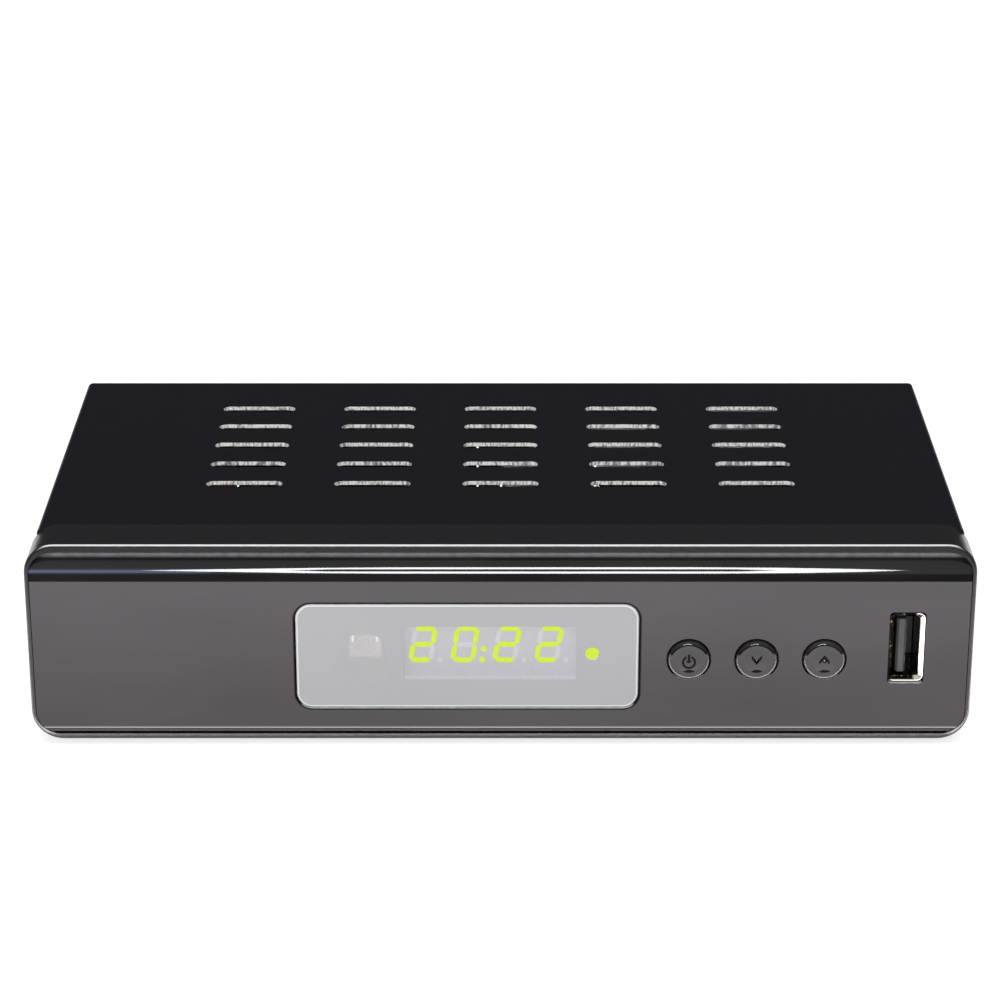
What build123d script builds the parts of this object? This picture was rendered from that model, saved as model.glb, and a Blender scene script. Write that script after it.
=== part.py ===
"""Satellite television receiver, modelled as the pieces it comes apart into.

Millimetres, +Z up. The front faces -Y, +X is to the right of someone who looks at the front,
and the origin is on the table, below the middle of the whole receiver.
"""
from build123d import *

import os
from math import radians, tan

os.makedirs("parts", exist_ok=True)

beyond = 1.0                # how far a cutting shape reaches past the faces that it opens

# ---- Moulded front -------------------------------------------------------------------
front_width = 182.0
front_height = 41.0
front_lift = 1.0            # lower edge above the table
front_depth = 10.3
front_corner = 6.0
front_wall = 2.0
front_edge_round = 0.5
rim_side = 0.8              # satin rim that shows round the gloss fascia
rim_top = 1.6
rim_bottom = 1.2
rim_corner = 4.7
seam = 0.15                 # gap between neighbouring mouldings

fascia_thick = 2.0
fascia_roll = 5.85          # radius of the fascia's rolled upper edge
fascia_foot_round = 1.1
peg_radius = 0.8
peg_hole_gap = 0.15
peg_side_inset = 7.0    # outer pegs, from the front's sides
peg_window_gap = 4.5    # inner pegs, from the sides of the display window
peg_low = 9.0
peg_high = 30.0

window_width = 66.0
window_height = 21.7
window_corner = 3.0
window_to_button = 9.7      # from the window's right edge to the middle of the first button
window_rise = 0.6           # middle of the window above the line of the controls
window_gap = 0.2
window_set_back = 0.1
window_edge = 0.25

controls_z = 18.1           # one line for the display, the receiver eye, the lamp and the buttons
button_to_usb = 15.8        # from the last button to the USB socket
button_pitch = 13.05
button_names = ["power", "channel_down", "channel_up"]
button_radius = 4.05
button_gap = 0.3
button_proud = 0.8
button_roll = 0.9
button_dish_radius = 2.5
button_dish_depth = 0.2
button_rest_gap = 0.1
flange_radius = 5.1
flange_thick = 1.2
flange_gap = 0.35
barrel_wall = 1.2
barrel_length = 2.2
press_travel = 0.4          # of each button, from rest to its stop
stem_radius = 1.5
stem_length = 1.6

boss_radius = 3.0
boss_bore_depth = 6.0
boss_z = 30.0
boss_offsets = [-26.6, 33.4, 71.4]  # from the middle of the window
rib_thick = 1.2
rib_depth = 2.0
rib_side_inset = 11.0
rib_pitch = 12.0
rib_board_gap = 7.0         # at least, from the last rib to the front board
rib_low = 9.6
rib_high = 33.0
hook_width = 9.0
hook_thick = 1.4
hook_barb = 0.9
hook_gap = 0.2
hook_count = 3
hook_side_inset = 29.0
tongue_thick = 1.4
tongue_reach = 4.0
tongue_root = 3.3
tongue_gap = 0.2
tongue_width = 22.0
tongue_count = 4
tongue_side_inset = 25.65   # from the cover's sides to the outer tongues' middles

# ---- Sheet steel case ----------------------------------------------------------------
sheet = 0.8
cover_side_inset = 1.35     # cover's sides inside those of the front
cover_drop = 0.8            # cover top below the top of the front
cover_back = 92.8           # rear edge of the cover, behind the front face
cover_bend = 1.2
cover_front_gap = 0.1
sheet_gap = 0.15            # between the cover and the pan inside it
slot_length = 15.2
slot_width = 3.0
slot_columns = 5
slot_column_pitch = 25.6
slot_rows = 5
slot_row_pitch = 10.75
slot_first_row = 33.5       # behind the front face

foot_height = 3.0
foot_radius = 6.0
foot_dish_radius = 3.2
foot_dish = 0.8
foot_edge = 0.6
foot_side_inset = 10.65     # from the cover's side to the middle of a foot
foot_front_inset = 10.8     # from the pan's front edge
foot_rear_inset = 9.3       # from its rear face

pan_bend = 1.2
pan_reach_in = 4.1          # how far the pan reaches into the front
pan_front_lip = 6.0         # its height above the underside
pan_corner_inset = 5.7      # where the pan reaches into the front, it is narrower by this each side
pan_side_height = 12.0
rear_inset = 0.5            # rear panel ahead of the cover's rear edge
rear_flange = 7.0           # folded foot of the rear panel
base_slot_length = 22.0
base_slot_width = 3.0
base_slot_columns = 3
base_slot_column_pitch = 32.0
base_slot_rows = 4
base_slot_row_pitch = 9.0

side_screw_z = 9.5
side_screw_places = [26.0, 76.0]
screw_head_radius = 2.75
side_screw_head = 1.2
screw_radius = 1.4
screw_hole_gap = 0.25
side_screw_length = 4.0

# ---- Circuit boards ------------------------------------------------------------------
board_thick = 1.6
standoff_height = 7.2
standoff_foot_radius = 4.6
standoff_top_radius = 3.0
fixing_bore = 1.1            # pilot hole of the board screws
standoff_side_inset = 17.0   # from the main board's left edge
standoff_front_inset = 12.0  # from its front edge
standoff_rear_inset = 23.0   # from its rear edge
standoff_tongue_gap = 7.0    # from its tongue
standoff_tuner_gap = 11.0    # from the tuner
board_left_gap = 2.9        # from the board's edge to the pan
board_right_gap = 1.4
board_back_gap = 2.5
board_front_gap = 3.1       # from the front board to the edge of the main board
board_tongue_side = 9.2     # from the middle of the USB socket to the tongue's free side
board_tongue_gap = 0.6      # from the tongue's end to the pan's front lip
board_screw_head = 1.8
board_screw_length = 5.0

front_board_face = 11.3     # behind the front face
front_board_reach = 30.6    # to the left of the middle of the window
front_board_side_gap = 0.4  # from its right edge to the main board's tongue
front_board_low = 6.5
front_board_high = 33.4

# ---- Display, eye, lamp and switches -------------------------------------------------
display_offset = 4.4        # middle of the display, from the middle of the window
display_opening_width = 33.8
display_opening_height = 12.5
display_gap = 0.3
display_margin = 0.9
segment_thick = 0.2
digit_count = 4
digit_height = 7.6
digit_width = 4.8
digit_pitch = 8.15
digit_row_x = -0.8          # middle of the digits from the middle of the module
digit_row_z = 1.2
digit_lean = 8.0            # degrees
segment_width = 0.95
segment_gap = 0.16
point_size = 0.9
point_offset = 3.3
colon_after = 1             # the colon stands right of this digit, counted from 0
colon_x = -0.3
colon_radius = 0.55
colon_heights = [-0.95, -3.3]
shown_digits = ["2", "0", "2", "2"]

eye_offset = -20.0          # from the middle of the window
eye_hole_radius = 5.45
eye_width = 6.2
eye_height = 7.0
eye_depth = 4.4
eye_dome = 2.3
eye_dome_proud = 1.7
eye_rise = 0.9

lamp_offset = 24.1          # from the middle of the window
lamp_radius = 1.5
lamp_length = 5.3
lamp_rim_radius = 1.9
lamp_rim = 1.0
lamp_gap = 0.15
lamp_set_back = 0.3         # lamp's tip behind the window
spacer_radius = 2.2
spacer_bore = 1.0

switch_side = 6.0
switch_height = 3.4
switch_corner = 0.5
plunger_radius = 1.6
plunger_gap = 0.3
plunger_inside = 1.0
plunger_room = 0.4          # left below a plunger that is pressed home

# ---- Front USB socket ----------------------------------------------------------------
usb_side_inset = 12.8       # from the front's right side to the middle of the socket
usb_rise = 2.4              # above the line of the controls
usb_opening_width = 7.0
usb_opening_height = 15.0
usb_opening_corner = 0.8
usb_width = 5.9
usb_height = 13.3
usb_wall = 0.4
usb_corner = 0.7
usb_length = 14.6
usb_set_back = 0.4
usb_flare = 0.42
usb_flare_length = 0.7
usb_lip = 0.12              # its wall thins to this at the mouth
usb_leg_width = 2.2
usb_leg_places = [8.8, 13.2]
usb_tongue_thick = 1.84
usb_tongue_height = 11.1
usb_tongue_offset = -0.95
usb_tongue_set_back = 1.3
usb_tongue_edge = 0.4
usb_block_depth = 4.0
usb_contact_thick = 0.12
usb_contact_width = 1.0
usb_contact_length = 7.5
usb_contact_heights = [-3.5, -1.0, 1.0, 3.5]
usb_contact_set_back = 1.2

# ---- Rear sockets, spread evenly over the rear wall -----------------------------------
socket_reach = 10.5         # aerial sockets, beyond the rear wall
panel_gap = 0.4             # round each socket in the rear wall
aerial_names = ["lnb_in", "lnb_out"]
aerial_pitch = 20.0
aerial_rise = 9.0           # axis above the board
thread_radius = 4.76
thread_relief_radius = 4.5
thread_chamfer = 0.5
aerial_bore_radius = 3.5
aerial_insulator_set_back = 0.8
aerial_pin_hole = 0.75
aerial_contact_wall = 0.25
aerial_lip = 1.0            # insulator in front of each contact
washer_radius = 7.0
washer_thick = 0.6
nut_across_flats = 12.7
nut_thick = 2.4
nut_gap = 0.12
tuner_width = 40.0
tuner_depth = 28.0
tuner_height = 16.0
tuner_lid_skirt = 4.0
tuner_lid_thick = 0.4
tuner_corner = 0.8
tuner_rib_width = 26.0
tuner_rib_depth = 1.6
tuner_rib_rise = 0.5
tuner_rib_slope = 20.0      # degrees
tuner_rib_pitch = 14.0

ethernet_width = 15.9
ethernet_height = 13.5
ethernet_depth = 17.5
ethernet_proud = 1.2
ethernet_shell_wall = 0.35
ethernet_hole_width = 11.8
ethernet_hole_height = 7.0
ethernet_hole_depth = 12.5
ethernet_hole_rise = 6.6
latch_width = 6.2
latch_step = 1.5
ethernet_contact_count = 8
ethernet_contact_pitch = 1.02
ethernet_contact_width = 0.5
ethernet_contact_hang = 1.4
ethernet_contact_lead = 1.5  # from the mouth to where the wires leave the roof
ethernet_contact_tip = 0.5

hdmi_width = 15.0
hdmi_height = 5.6
hdmi_wall = 0.4
hdmi_chamfer = 1.5
hdmi_depth = 12.0
hdmi_proud = 1.0
hdmi_rise = 0.3
hdmi_leg_width = 2.0
hdmi_leg_place = 3.0        # behind the shell's inner end
hdmi_tongue_width = 11.6
hdmi_tongue_thick = 1.3
hdmi_tongue_set_back = 1.5

scart_width = 47.0
scart_height = 15.4
scart_slant = 5.0
scart_rise = 0.4
scart_proud = 3.5
scart_depth = 15.5
scart_rim = 1.2
scart_groove = 1.4
scart_groove_depth = 10.0
scart_slot_columns = 10
scart_slot_pitch = 3.81
scart_slot_width = 1.4
scart_slot_height = 3.6
scart_slot_row = 2.9
scart_slot_depth = 8.0

audio_block = 10.0
audio_block_height = 11.0
audio_block_depth = 9.0
audio_rise = 6.0
audio_ring_radius = 4.15
audio_ring_wall = 0.6
audio_reach = 9.0
audio_collar_radius = 5.0
audio_collar_thick = 1.4
audio_bore_radius = 1.65
audio_contact_wall = 0.3

power_width = 9.0
power_height = 11.0
power_depth = 14.0
power_proud = 1.0
power_bore_radius = 3.1
power_bore_depth = 9.5
power_pin_radius = 1.05
power_pin_length = 9.0
power_edge = 0.6

# ---- Parts on the main board ---------------------------------------------------------
chip_x = 2.0
chip_y = 47.0               # behind the front face
chip_side = 21.0
chip_height = 2.2
chip_corner = 1.0
heatsink_side = 27.0
heatsink_base = 2.0
heatsink_height = 9.0
heatsink_fins = 8
heatsink_fin_thick = 1.2
memory_places = [(30.0, 41.0), (30.0, 53.0)]
memory_width = 13.5
memory_depth = 8.5
memory_height = 1.1
flash_places = [(-24.0, 36.0), (-24.0, 50.0)]
flash_width = 5.2
flash_depth = 6.0
flash_height = 1.7
leg_width = 0.45
leg_pitch = 1.27
leg_count = 4
leg_reach = 0.9
leg_thick = 0.25
supply_capacitors = [(9, 38), (9, 50), (27, 48), (27, 60)]  # from the main board's left edge
ribbon_capacitor = (-4, 24)  # from the ribbon cable
rear_capacitors = [(22, 20), (82, 21)]  # from the tuner's left side and the rear wall
capacitor_radius = 4.0
capacitor_height = 10.0
capacitor_edge = 0.35
capacitor_groove = 0.35
capacitor_groove_rise = 1.6
inductor_inset = 39.0       # from the main board's left edge
inductor_rows = [26.0, 40.0, 54.0]
inductor_side = 8.0
inductor_height = 4.2
inductor_corner = 1.6
crystal_x = -20.0
crystal_rear_inset = 25.5   # from the rear wall
crystal_length = 11.0
crystal_width = 4.6
crystal_height = 3.6
crystal_base = 0.5
crystal_lip = 0.4

ribbon_tongue_gap = 21.0     # from the main board's tongue to the middle of the ribbon
ribbon_width = 10.0
ribbon_thick = 0.9
ribbon_bend = 5.0
header_width = 13.0
header_thick = 4.6
header_length = 6.0
front_header_z = 27.0
main_header_y = 35.0

# ---- Places worked out from the sizes above ------------------------------------------
cover_width = front_width - 2 * cover_side_inset
cover_top = front_lift + front_height - cover_drop
front_top = front_lift + front_height
front_middle = front_lift + front_height / 2
recess_back = fascia_thick
wall_back = recess_back + front_wall

rim_low = front_lift + rim_bottom
rim_high = front_top - rim_top
rim_width = front_width - 2 * rim_side
fascia_low = rim_low + seam
fascia_high = rim_high - seam
fascia_width = rim_width - 2 * seam
fascia_corner = rim_corner - seam
roll_start = fascia_high - fascia_roll
web_front = fascia_roll + seam
web_back = web_front + front_wall

base_low = foot_height
base_top = base_low + sheet
board_low = base_top + standoff_height
board_top = board_low + board_thick
pan_half = cover_width / 2 - sheet - sheet_gap
pan_front = front_depth - pan_reach_in
pan_front_half = pan_half - pan_corner_inset
pan_top = cover_top - sheet - sheet_gap
rear_face = cover_back - rear_inset
rear_inner = rear_face - sheet
aerial_end = rear_face + socket_reach
front_y = button_proud - (button_proud + aerial_end) / 2
cover_front = front_depth + cover_front_gap
foot_x = cover_width / 2 - foot_side_inset
foot_front = pan_front + foot_front_inset
foot_rear = rear_face - foot_rear_inset

usb_x = front_width / 2 - usb_side_inset
usb_z = controls_z + usb_rise
button_x = [usb_x - button_to_usb - (len(button_names) - 1 - index) * button_pitch
            for index in range(len(button_names))]
window_x = button_x[0] - window_to_button - window_width / 2
window_z = controls_z + window_rise
display_x = window_x + display_offset
eye_x = window_x + eye_offset
lamp_x = window_x + lamp_offset
boss_places = [window_x + offset for offset in boss_offsets]
inner_peg = window_width / 2 + window_gap + peg_window_gap
peg_places = [(peg_side_inset - front_width / 2, peg_high), (window_x - inner_peg, peg_low),
              (window_x + inner_peg, peg_high), (front_width / 2 - peg_side_inset, peg_low)]
hook_span = front_width - 2 * hook_side_inset
hook_places = [(index / (hook_count - 1) - 0.5) * hook_span for index in range(hook_count)]
tongue_span = cover_width - 2 * tongue_side_inset
tongue_places = [(index / (tongue_count - 1) - 0.5) * tongue_span for index in range(tongue_count)]

flange_front = wall_back + button_rest_gap
flange_back = flange_front + flange_thick
stem_end = flange_back + stem_length
switch_front = front_board_face - switch_height
plunger_end = switch_front + plunger_inside
display_face = wall_back + display_gap
display_body = display_face + segment_thick
lamp_tip = fascia_thick + lamp_set_back
lamp_back = lamp_tip + lamp_length
front_board_back = front_board_face + board_thick
board_left = board_left_gap + sheet - pan_half
board_right = pan_half - sheet - board_right_gap
board_front = front_board_back + board_front_gap
board_back = rear_inner - board_back_gap
board_tongue_left = usb_x - board_tongue_side
board_tongue_front = pan_front + sheet + board_tongue_gap
ribbon_x = board_tongue_left - ribbon_tongue_gap
front_board_left = window_x - front_board_reach
front_board_right = board_tongue_left - front_board_side_gap
rib_first = rib_side_inset - front_width / 2
rib_count = int((front_board_left - rib_board_gap - rib_first) / rib_pitch) + 1
rib_places = [rib_first + index * rib_pitch for index in range(rib_count)]

# The rear sockets stand in one row from left to right, with equal gaps.
rear_row = [("power", power_width), ("audio", audio_block), ("scart", scart_width),
            ("hdmi", hdmi_width), ("ethernet", ethernet_width), ("tuner", tuner_width)]
rear_room = 2 * (pan_half - sheet) - sum(width for name, width in rear_row)
rear_gap = rear_room / (len(rear_row) + 1)
socket_x = {}
taken = sheet - pan_half
for name, width in rear_row:
    socket_x[name] = taken + rear_gap + width / 2
    taken += rear_gap + width
power_x = socket_x["power"]
audio_x = socket_x["audio"]
scart_x = socket_x["scart"]
hdmi_x = socket_x["hdmi"]
ethernet_x = socket_x["ethernet"]
tuner_x = socket_x["tuner"]
tuner_left = tuner_x - tuner_width / 2
aerial_x = [tuner_x + aerial_pitch / 2, tuner_x - aerial_pitch / 2]

standoff_left = board_left + standoff_side_inset
standoff_front = board_front + standoff_front_inset
standoff_rear = board_back - standoff_rear_inset
standoff_places = [(standoff_left, standoff_front),
                   (board_tongue_left - standoff_tongue_gap, standoff_front),
                   (standoff_left, standoff_rear),
                   (tuner_left - standoff_tuner_gap, standoff_rear)]
capacitor_places = [(board_left + x, y) for x, y in supply_capacitors]
capacitor_places += [(ribbon_x + ribbon_capacitor[0], ribbon_capacitor[1])]
capacitor_places += [(tuner_left - x, rear_inner - y) for x, y in rear_capacitors]
inductor_places = [(board_left + inductor_inset, y) for y in inductor_rows]
crystal_y = rear_inner - crystal_rear_inset


def face_plane(depth):
    """Upright plane that far behind the front face. A negative extrusion goes towards the rear."""
    return Plane(origin=(0, front_y + depth, 0), x_dir=(1, 0, 0), z_dir=(0, -1, 0))


def side_plane(x=0.0):
    """Upright plane from front to rear: its X is depth behind the front face, its Y is height."""
    return Plane(origin=(x, front_y, 0), x_dir=(0, 1, 0), z_dir=(1, 0, 0))


def level_plane(height):
    """Level plane at that height: its Y is depth behind the front face."""
    return Plane(origin=(0, front_y, height), x_dir=(1, 0, 0), z_dir=(0, 0, 1))


def rear_plane(depth):
    """The same plane seen from the rear: its X is X, and its Y is height counted downwards."""
    return Plane(origin=(0, front_y + depth, 0), x_dir=(1, 0, 0), z_dir=(0, 1, 0))


def axis_at(x, height):
    """Line from front to rear through that point of the front."""
    return Axis((x, front_y, height), (0, 1, 0))


def turning_plane(x, height):
    """Level plane on such a line: its X is radius, its Y is depth behind the front face."""
    return Plane(origin=(x, front_y, height), x_dir=(1, 0, 0), z_dir=(0, 0, 1))


# ---- Front casing --------------------------------------------------------------------
# The recess that the fascia lies in follows the fascia's back, up and round its rolled edge.
with BuildPart() as fascia_recess:
    with BuildSketch(side_plane()):
        with BuildLine():
            arc_radius = fascia_roll - fascia_thick - seam
            Polyline((-beyond, rim_high), (-beyond, rim_low), (recess_back, rim_low),
                     (recess_back, roll_start), (recess_back + seam, roll_start))
            CenterArc((fascia_roll, roll_start), arc_radius, 180, -90)
            Polyline((fascia_roll, roll_start + arc_radius), (web_front, roll_start + arc_radius),
                     (web_front, rim_high), (-beyond, rim_high))
        make_face()
    extrude(amount=front_width / 2, both=True)
    with BuildSketch(face_plane(-beyond)):
        with Locations((0, (rim_low + rim_high) / 2)):
            RectangleRounded(rim_width, rim_high - rim_low, rim_corner)
    extrude(amount=-(web_front + beyond), mode=Mode.INTERSECT)

# The hollow behind the front wall keeps one wall thickness, also round the roll.
with BuildPart() as front_hollow:
    with BuildSketch(side_plane()):
        with BuildLine():
            arc_radius = fascia_roll - fascia_thick - seam - front_wall
            hollow_end = front_depth + beyond
            Polyline((hollow_end, front_top - front_wall), (hollow_end, front_lift + front_wall),
                     (wall_back, front_lift + front_wall), (wall_back, roll_start),
                     (wall_back + seam, roll_start))
            CenterArc((fascia_roll, roll_start), arc_radius, 180, -90)
            Polyline((fascia_roll, roll_start + arc_radius), (web_back, roll_start + arc_radius),
                     (web_back, front_top - front_wall), (hollow_end, front_top - front_wall))
        make_face()
    extrude(amount=front_width / 2, both=True)
    with BuildSketch(face_plane(0)):
        with Locations((0, front_middle)):
            RectangleRounded(front_width - 2 * front_wall, front_height - 2 * front_wall,
                             front_corner - front_wall)
    extrude(amount=-hollow_end, mode=Mode.INTERSECT)

with BuildPart() as front_bezel:
    with BuildSketch(face_plane(0)):
        with Locations((0, front_middle)):
            RectangleRounded(front_width, front_height, front_corner)
    extrude(amount=-front_depth)
    fillet(front_bezel.faces().sort_by(Axis.Y)[0].edges(), front_edge_round)
    add(fascia_recess.part, mode=Mode.SUBTRACT)
    add(front_hollow.part, mode=Mode.SUBTRACT)

    # Openings of the front wall: display, receiver eye, lamp, buttons, USB socket, fascia pegs.
    with BuildSketch(face_plane(0)):
        with Locations((display_x, controls_z)):
            Rectangle(display_opening_width, display_opening_height)
        with Locations((eye_x, controls_z)):
            Circle(eye_hole_radius)
        with Locations((lamp_x, controls_z)):
            Circle(lamp_radius + lamp_gap)
        with Locations([(x, controls_z) for x in button_x]):
            Circle(button_radius + button_gap)
        with Locations((usb_x, usb_z)):
            RectangleRounded(usb_opening_width, usb_opening_height, usb_opening_corner)
        with Locations(peg_places):
            Circle(peg_radius + peg_hole_gap)
    extrude(amount=-(wall_back + beyond), mode=Mode.SUBTRACT)

    # One joined row of guide barrels behind the buttons.
    with BuildSketch(face_plane(wall_back)):
        with Locations([(x, controls_z) for x in button_x]):
            Circle(flange_radius + flange_gap + barrel_wall)
        with Locations([(x, controls_z) for x in button_x]):
            Circle(flange_radius + flange_gap, mode=Mode.SUBTRACT)
    extrude(amount=-barrel_length)

    # Bosses that carry the front board.
    with BuildSketch(face_plane(wall_back)):
        with Locations([(x, boss_z) for x in boss_places]):
            Circle(boss_radius)
    extrude(amount=-(front_board_face - wall_back))
    with BuildSketch(face_plane(front_board_face)):
        with Locations([(x, boss_z) for x in boss_places]):
            Circle(fixing_bore)
    extrude(amount=boss_bore_depth, mode=Mode.SUBTRACT)

    # Stiffening ribs behind the plain left part of the wall.
    with BuildSketch(face_plane(wall_back)):
        with Locations([(x, (rib_low + rib_high) / 2) for x in rib_places]):
            Rectangle(rib_thick, rib_high - rib_low)
        with Locations(((rib_places[0] + rib_places[-1]) / 2, rib_low),
                       ((rib_places[0] + rib_places[-1]) / 2, rib_high)):
            Rectangle(rib_places[-1] - rib_places[0] + rib_thick, rib_thick)
    extrude(amount=-rib_depth)

    # Snap hooks that drop behind the front lip of the pan.
    hook_low = base_low + pan_front_lip + hook_gap
    hook_back = pan_front + sheet + hook_gap
    for x in hook_places:
        with BuildSketch(side_plane(x)):
            with BuildLine():
                Polyline((wall_back, hook_low), (hook_back, hook_low), (hook_back, hook_low - hook_barb),
                         (hook_back + hook_barb, hook_low), (hook_back + hook_barb, hook_low + hook_thick),
                         (wall_back, hook_low + hook_thick), close=True)
            make_face()
        extrude(amount=hook_width / 2, both=True)

    # Tongues that the front edge of the cover slides over, on the top and both sides.
    tongue_half = cover_width / 2 - sheet - tongue_gap
    tongue_top = cover_top - sheet - tongue_gap
    with BuildSketch(face_plane(front_depth - tongue_root)):
        with Locations([(x, tongue_top - tongue_thick / 2) for x in tongue_places]):
            Rectangle(tongue_width, tongue_thick)
        with Locations((-tongue_half + tongue_thick / 2, front_middle),
                       (tongue_half - tongue_thick / 2, front_middle)):
            Rectangle(tongue_thick, tongue_width)
    extrude(amount=-(tongue_root + tongue_reach))
    # The side tongues stand off the side walls, on a root inside the front.
    with BuildSketch(face_plane(front_depth - tongue_root)):
        root_outer = front_width / 2 - front_wall / 2
        root_width = root_outer - tongue_half
        with Locations((-(root_outer - root_width / 2), front_middle),
                       (root_outer - root_width / 2, front_middle)):
            Rectangle(root_width, tongue_width)
    extrude(amount=-tongue_root)
front_bezel.part.label = "front_bezel"
export_step(front_bezel.part, "parts/front_bezel.step")

with BuildPart() as front_fascia:
    with BuildSketch(side_plane()):
        with BuildLine():
            Line((0, roll_start), (0, fascia_low + fascia_foot_round))
            CenterArc((fascia_foot_round, fascia_low + fascia_foot_round), fascia_foot_round, 180, 90)
            Polyline((fascia_foot_round, fascia_low), (fascia_thick, fascia_low),
                     (fascia_thick, roll_start))
            CenterArc((fascia_roll, roll_start), fascia_roll - fascia_thick, 180, -90)
            Line((fascia_roll, fascia_high - fascia_thick), (fascia_roll, fascia_high))
            CenterArc((fascia_roll, roll_start), fascia_roll, 90, 90)
        make_face()
    extrude(amount=fascia_width / 2, both=True)
    with BuildSketch(face_plane(-beyond)):
        with Locations((0, (fascia_low + fascia_high) / 2)):
            RectangleRounded(fascia_width, fascia_high - fascia_low, fascia_corner)
    extrude(amount=-(fascia_roll + 2 * beyond), mode=Mode.INTERSECT)
    with BuildSketch(face_plane(-beyond)):
        with Locations((window_x, window_z)):
            RectangleRounded(window_width + 2 * window_gap, window_height + 2 * window_gap,
                             window_corner + window_gap)
        with Locations([(x, controls_z) for x in button_x]):
            Circle(button_radius + button_gap)
        with Locations((usb_x, usb_z)):
            RectangleRounded(usb_opening_width, usb_opening_height, usb_opening_corner)
    extrude(amount=-(fascia_thick + 2 * beyond), mode=Mode.SUBTRACT)
    # Pegs that locate it in the front wall.
    with BuildSketch(face_plane(fascia_thick)):
        with Locations(peg_places):
            Circle(peg_radius)
    extrude(amount=-front_wall)
front_fascia.part.label = "front_fascia"
export_step(front_fascia.part, "parts/front_fascia.step")

with BuildPart() as display_window:
    with BuildSketch(face_plane(window_set_back)):
        with Locations((window_x, window_z)):
            RectangleRounded(window_width, window_height, window_corner)
    extrude(amount=-(fascia_thick - window_set_back))
    chamfer(display_window.faces().sort_by(Axis.Y)[0].edges(), window_edge)
display_window.part.label = "display_window"
export_step(display_window.part, "parts/display_window.step")


# ---- Buttons and their switches ------------------------------------------------------
dish_bottom = button_dish_depth - button_proud
for button_name, x in zip(button_names, button_x):
    # Cap with a rolled edge and a shallow finger dish, a retaining flange behind the wall and a
    # stem to its switch.
    with BuildPart() as button:
        with BuildSketch(turning_plane(x, controls_z)):
            with BuildLine():
                TangentArc((0, dish_bottom), (button_dish_radius, -button_proud), tangent=(1, 0))
                Polyline((button_dish_radius, -button_proud), (button_radius, -button_proud),
                         (button_radius, flange_front),
                         (flange_radius, flange_front), (flange_radius, flange_back),
                         (stem_radius, flange_back), (stem_radius, stem_end), (0, stem_end),
                         (0, dish_bottom))
            make_face()
        revolve(axis=axis_at(x, controls_z))
        rings = button.edges().filter_by(lambda edge: edge.is_closed)
        fillet(rings.group_by(Axis.Y)[0].sort_by(SortBy.RADIUS)[-1], button_roll)
    button.part.label = f"{button_name}_button"
    export_step(button.part, f"parts/{button_name}_button.step")

    with BuildPart() as plunger:
        with BuildSketch(face_plane(stem_end)):
            with Locations((x, controls_z)):
                Circle(plunger_radius)
        extrude(amount=-(plunger_end - stem_end))
    plunger.part.label = f"{button_name}_plunger"
    export_step(plunger.part, f"parts/{button_name}_plunger.step")

    with BuildPart() as switch:
        with BuildSketch(face_plane(switch_front)):
            with Locations((x, controls_z)):
                RectangleRounded(switch_side, switch_side, switch_corner)
        extrude(amount=-switch_height)
        with BuildSketch(face_plane(switch_front)):
            with Locations((x, controls_z)):
                Circle(plunger_radius + plunger_gap)
        extrude(amount=-(plunger_inside + press_travel + plunger_room), mode=Mode.SUBTRACT)
    switch.part.label = f"{button_name}_switch"
    export_step(switch.part, f"parts/{button_name}_switch.step")


# ---- Front board and what looks out of the window ------------------------------------
with BuildPart() as front_board:
    with BuildSketch(face_plane(front_board_face)):
        with Locations(((front_board_left + front_board_right) / 2,
                        (front_board_low + front_board_high) / 2)):
            Rectangle(front_board_right - front_board_left, front_board_high - front_board_low)
        with Locations([(x, boss_z) for x in boss_places]):
            Circle(screw_radius + screw_hole_gap, mode=Mode.SUBTRACT)
    extrude(amount=-board_thick)
front_board.part.label = "front_board"
export_step(front_board.part, "parts/front_board.step")

display_width = display_opening_width
display_height = display_opening_height + 2 * display_margin
with BuildPart() as led_display:
    with BuildSketch(face_plane(display_body)):
        with Locations((display_x, controls_z)):
            Rectangle(display_width, display_height)
    extrude(amount=-(front_board_face - display_body))
led_display.part.label = "led_display"
export_step(led_display.part, "parts/led_display.step")

# Seven segments of a digit, each with its middle as a share of the half width and the half
# height of the digit's centre lines, and whether it lies level.
segment_places = {
    "a": (0, 1, True), "b": (1, 0.5, False), "c": (1, -0.5, False), "d": (0, -1, True),
    "e": (-1, -0.5, False), "f": (-1, 0.5, False), "g": (0, 0, True),
}
lit_by_digit = {"2": "abdeg", "0": "abcdef"}
half_width = (digit_width - segment_width) / 2
half_height = (digit_height - segment_width) / 2


def lean(x, z):
    """Point of the display's face, from the middle of a digit, slanted as the digits are."""
    return (x + z * tan(radians(digit_lean)), z)


def segment_outline(name, digit_x, digit_z):
    """Six corners of one slanted segment with pointed ends."""
    across, up, level = segment_places[name]
    x, z = across * half_width, up * half_height
    reach = (2 * half_width if level else half_height) / 2 - segment_gap / 2
    half = segment_width / 2
    ends = [(-reach, 0), (half - reach, half), (reach - half, half), (reach, 0),
            (reach - half, -half), (half - reach, -half)]
    corners = [lean(x + u, z + v) if level else lean(x + v, z + u) for u, v in ends]
    return [(digit_x + cx, digit_z + cz) for cx, cz in corners]


digits_z = controls_z + digit_row_z
digit_x = [display_x + digit_row_x + (index - (digit_count - 1) / 2) * digit_pitch
           for index in range(digit_count)]
with BuildPart() as lit_segments:
    with BuildSketch(face_plane(display_face)):
        for x, digit in zip(digit_x, shown_digits):
            for name in lit_by_digit[digit]:
                with BuildLine():
                    Polyline(*segment_outline(name, x, digits_z), close=True)
                make_face()
        with Locations([(display_x + digit_row_x + lean(colon_x, dot)[0], digits_z + dot)
                        for dot in colon_heights]):
            Circle(colon_radius)
    extrude(amount=-segment_thick)
lit_segments.part.label = "lit_segments"
export_step(lit_segments.part, "parts/lit_segments.step")

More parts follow.
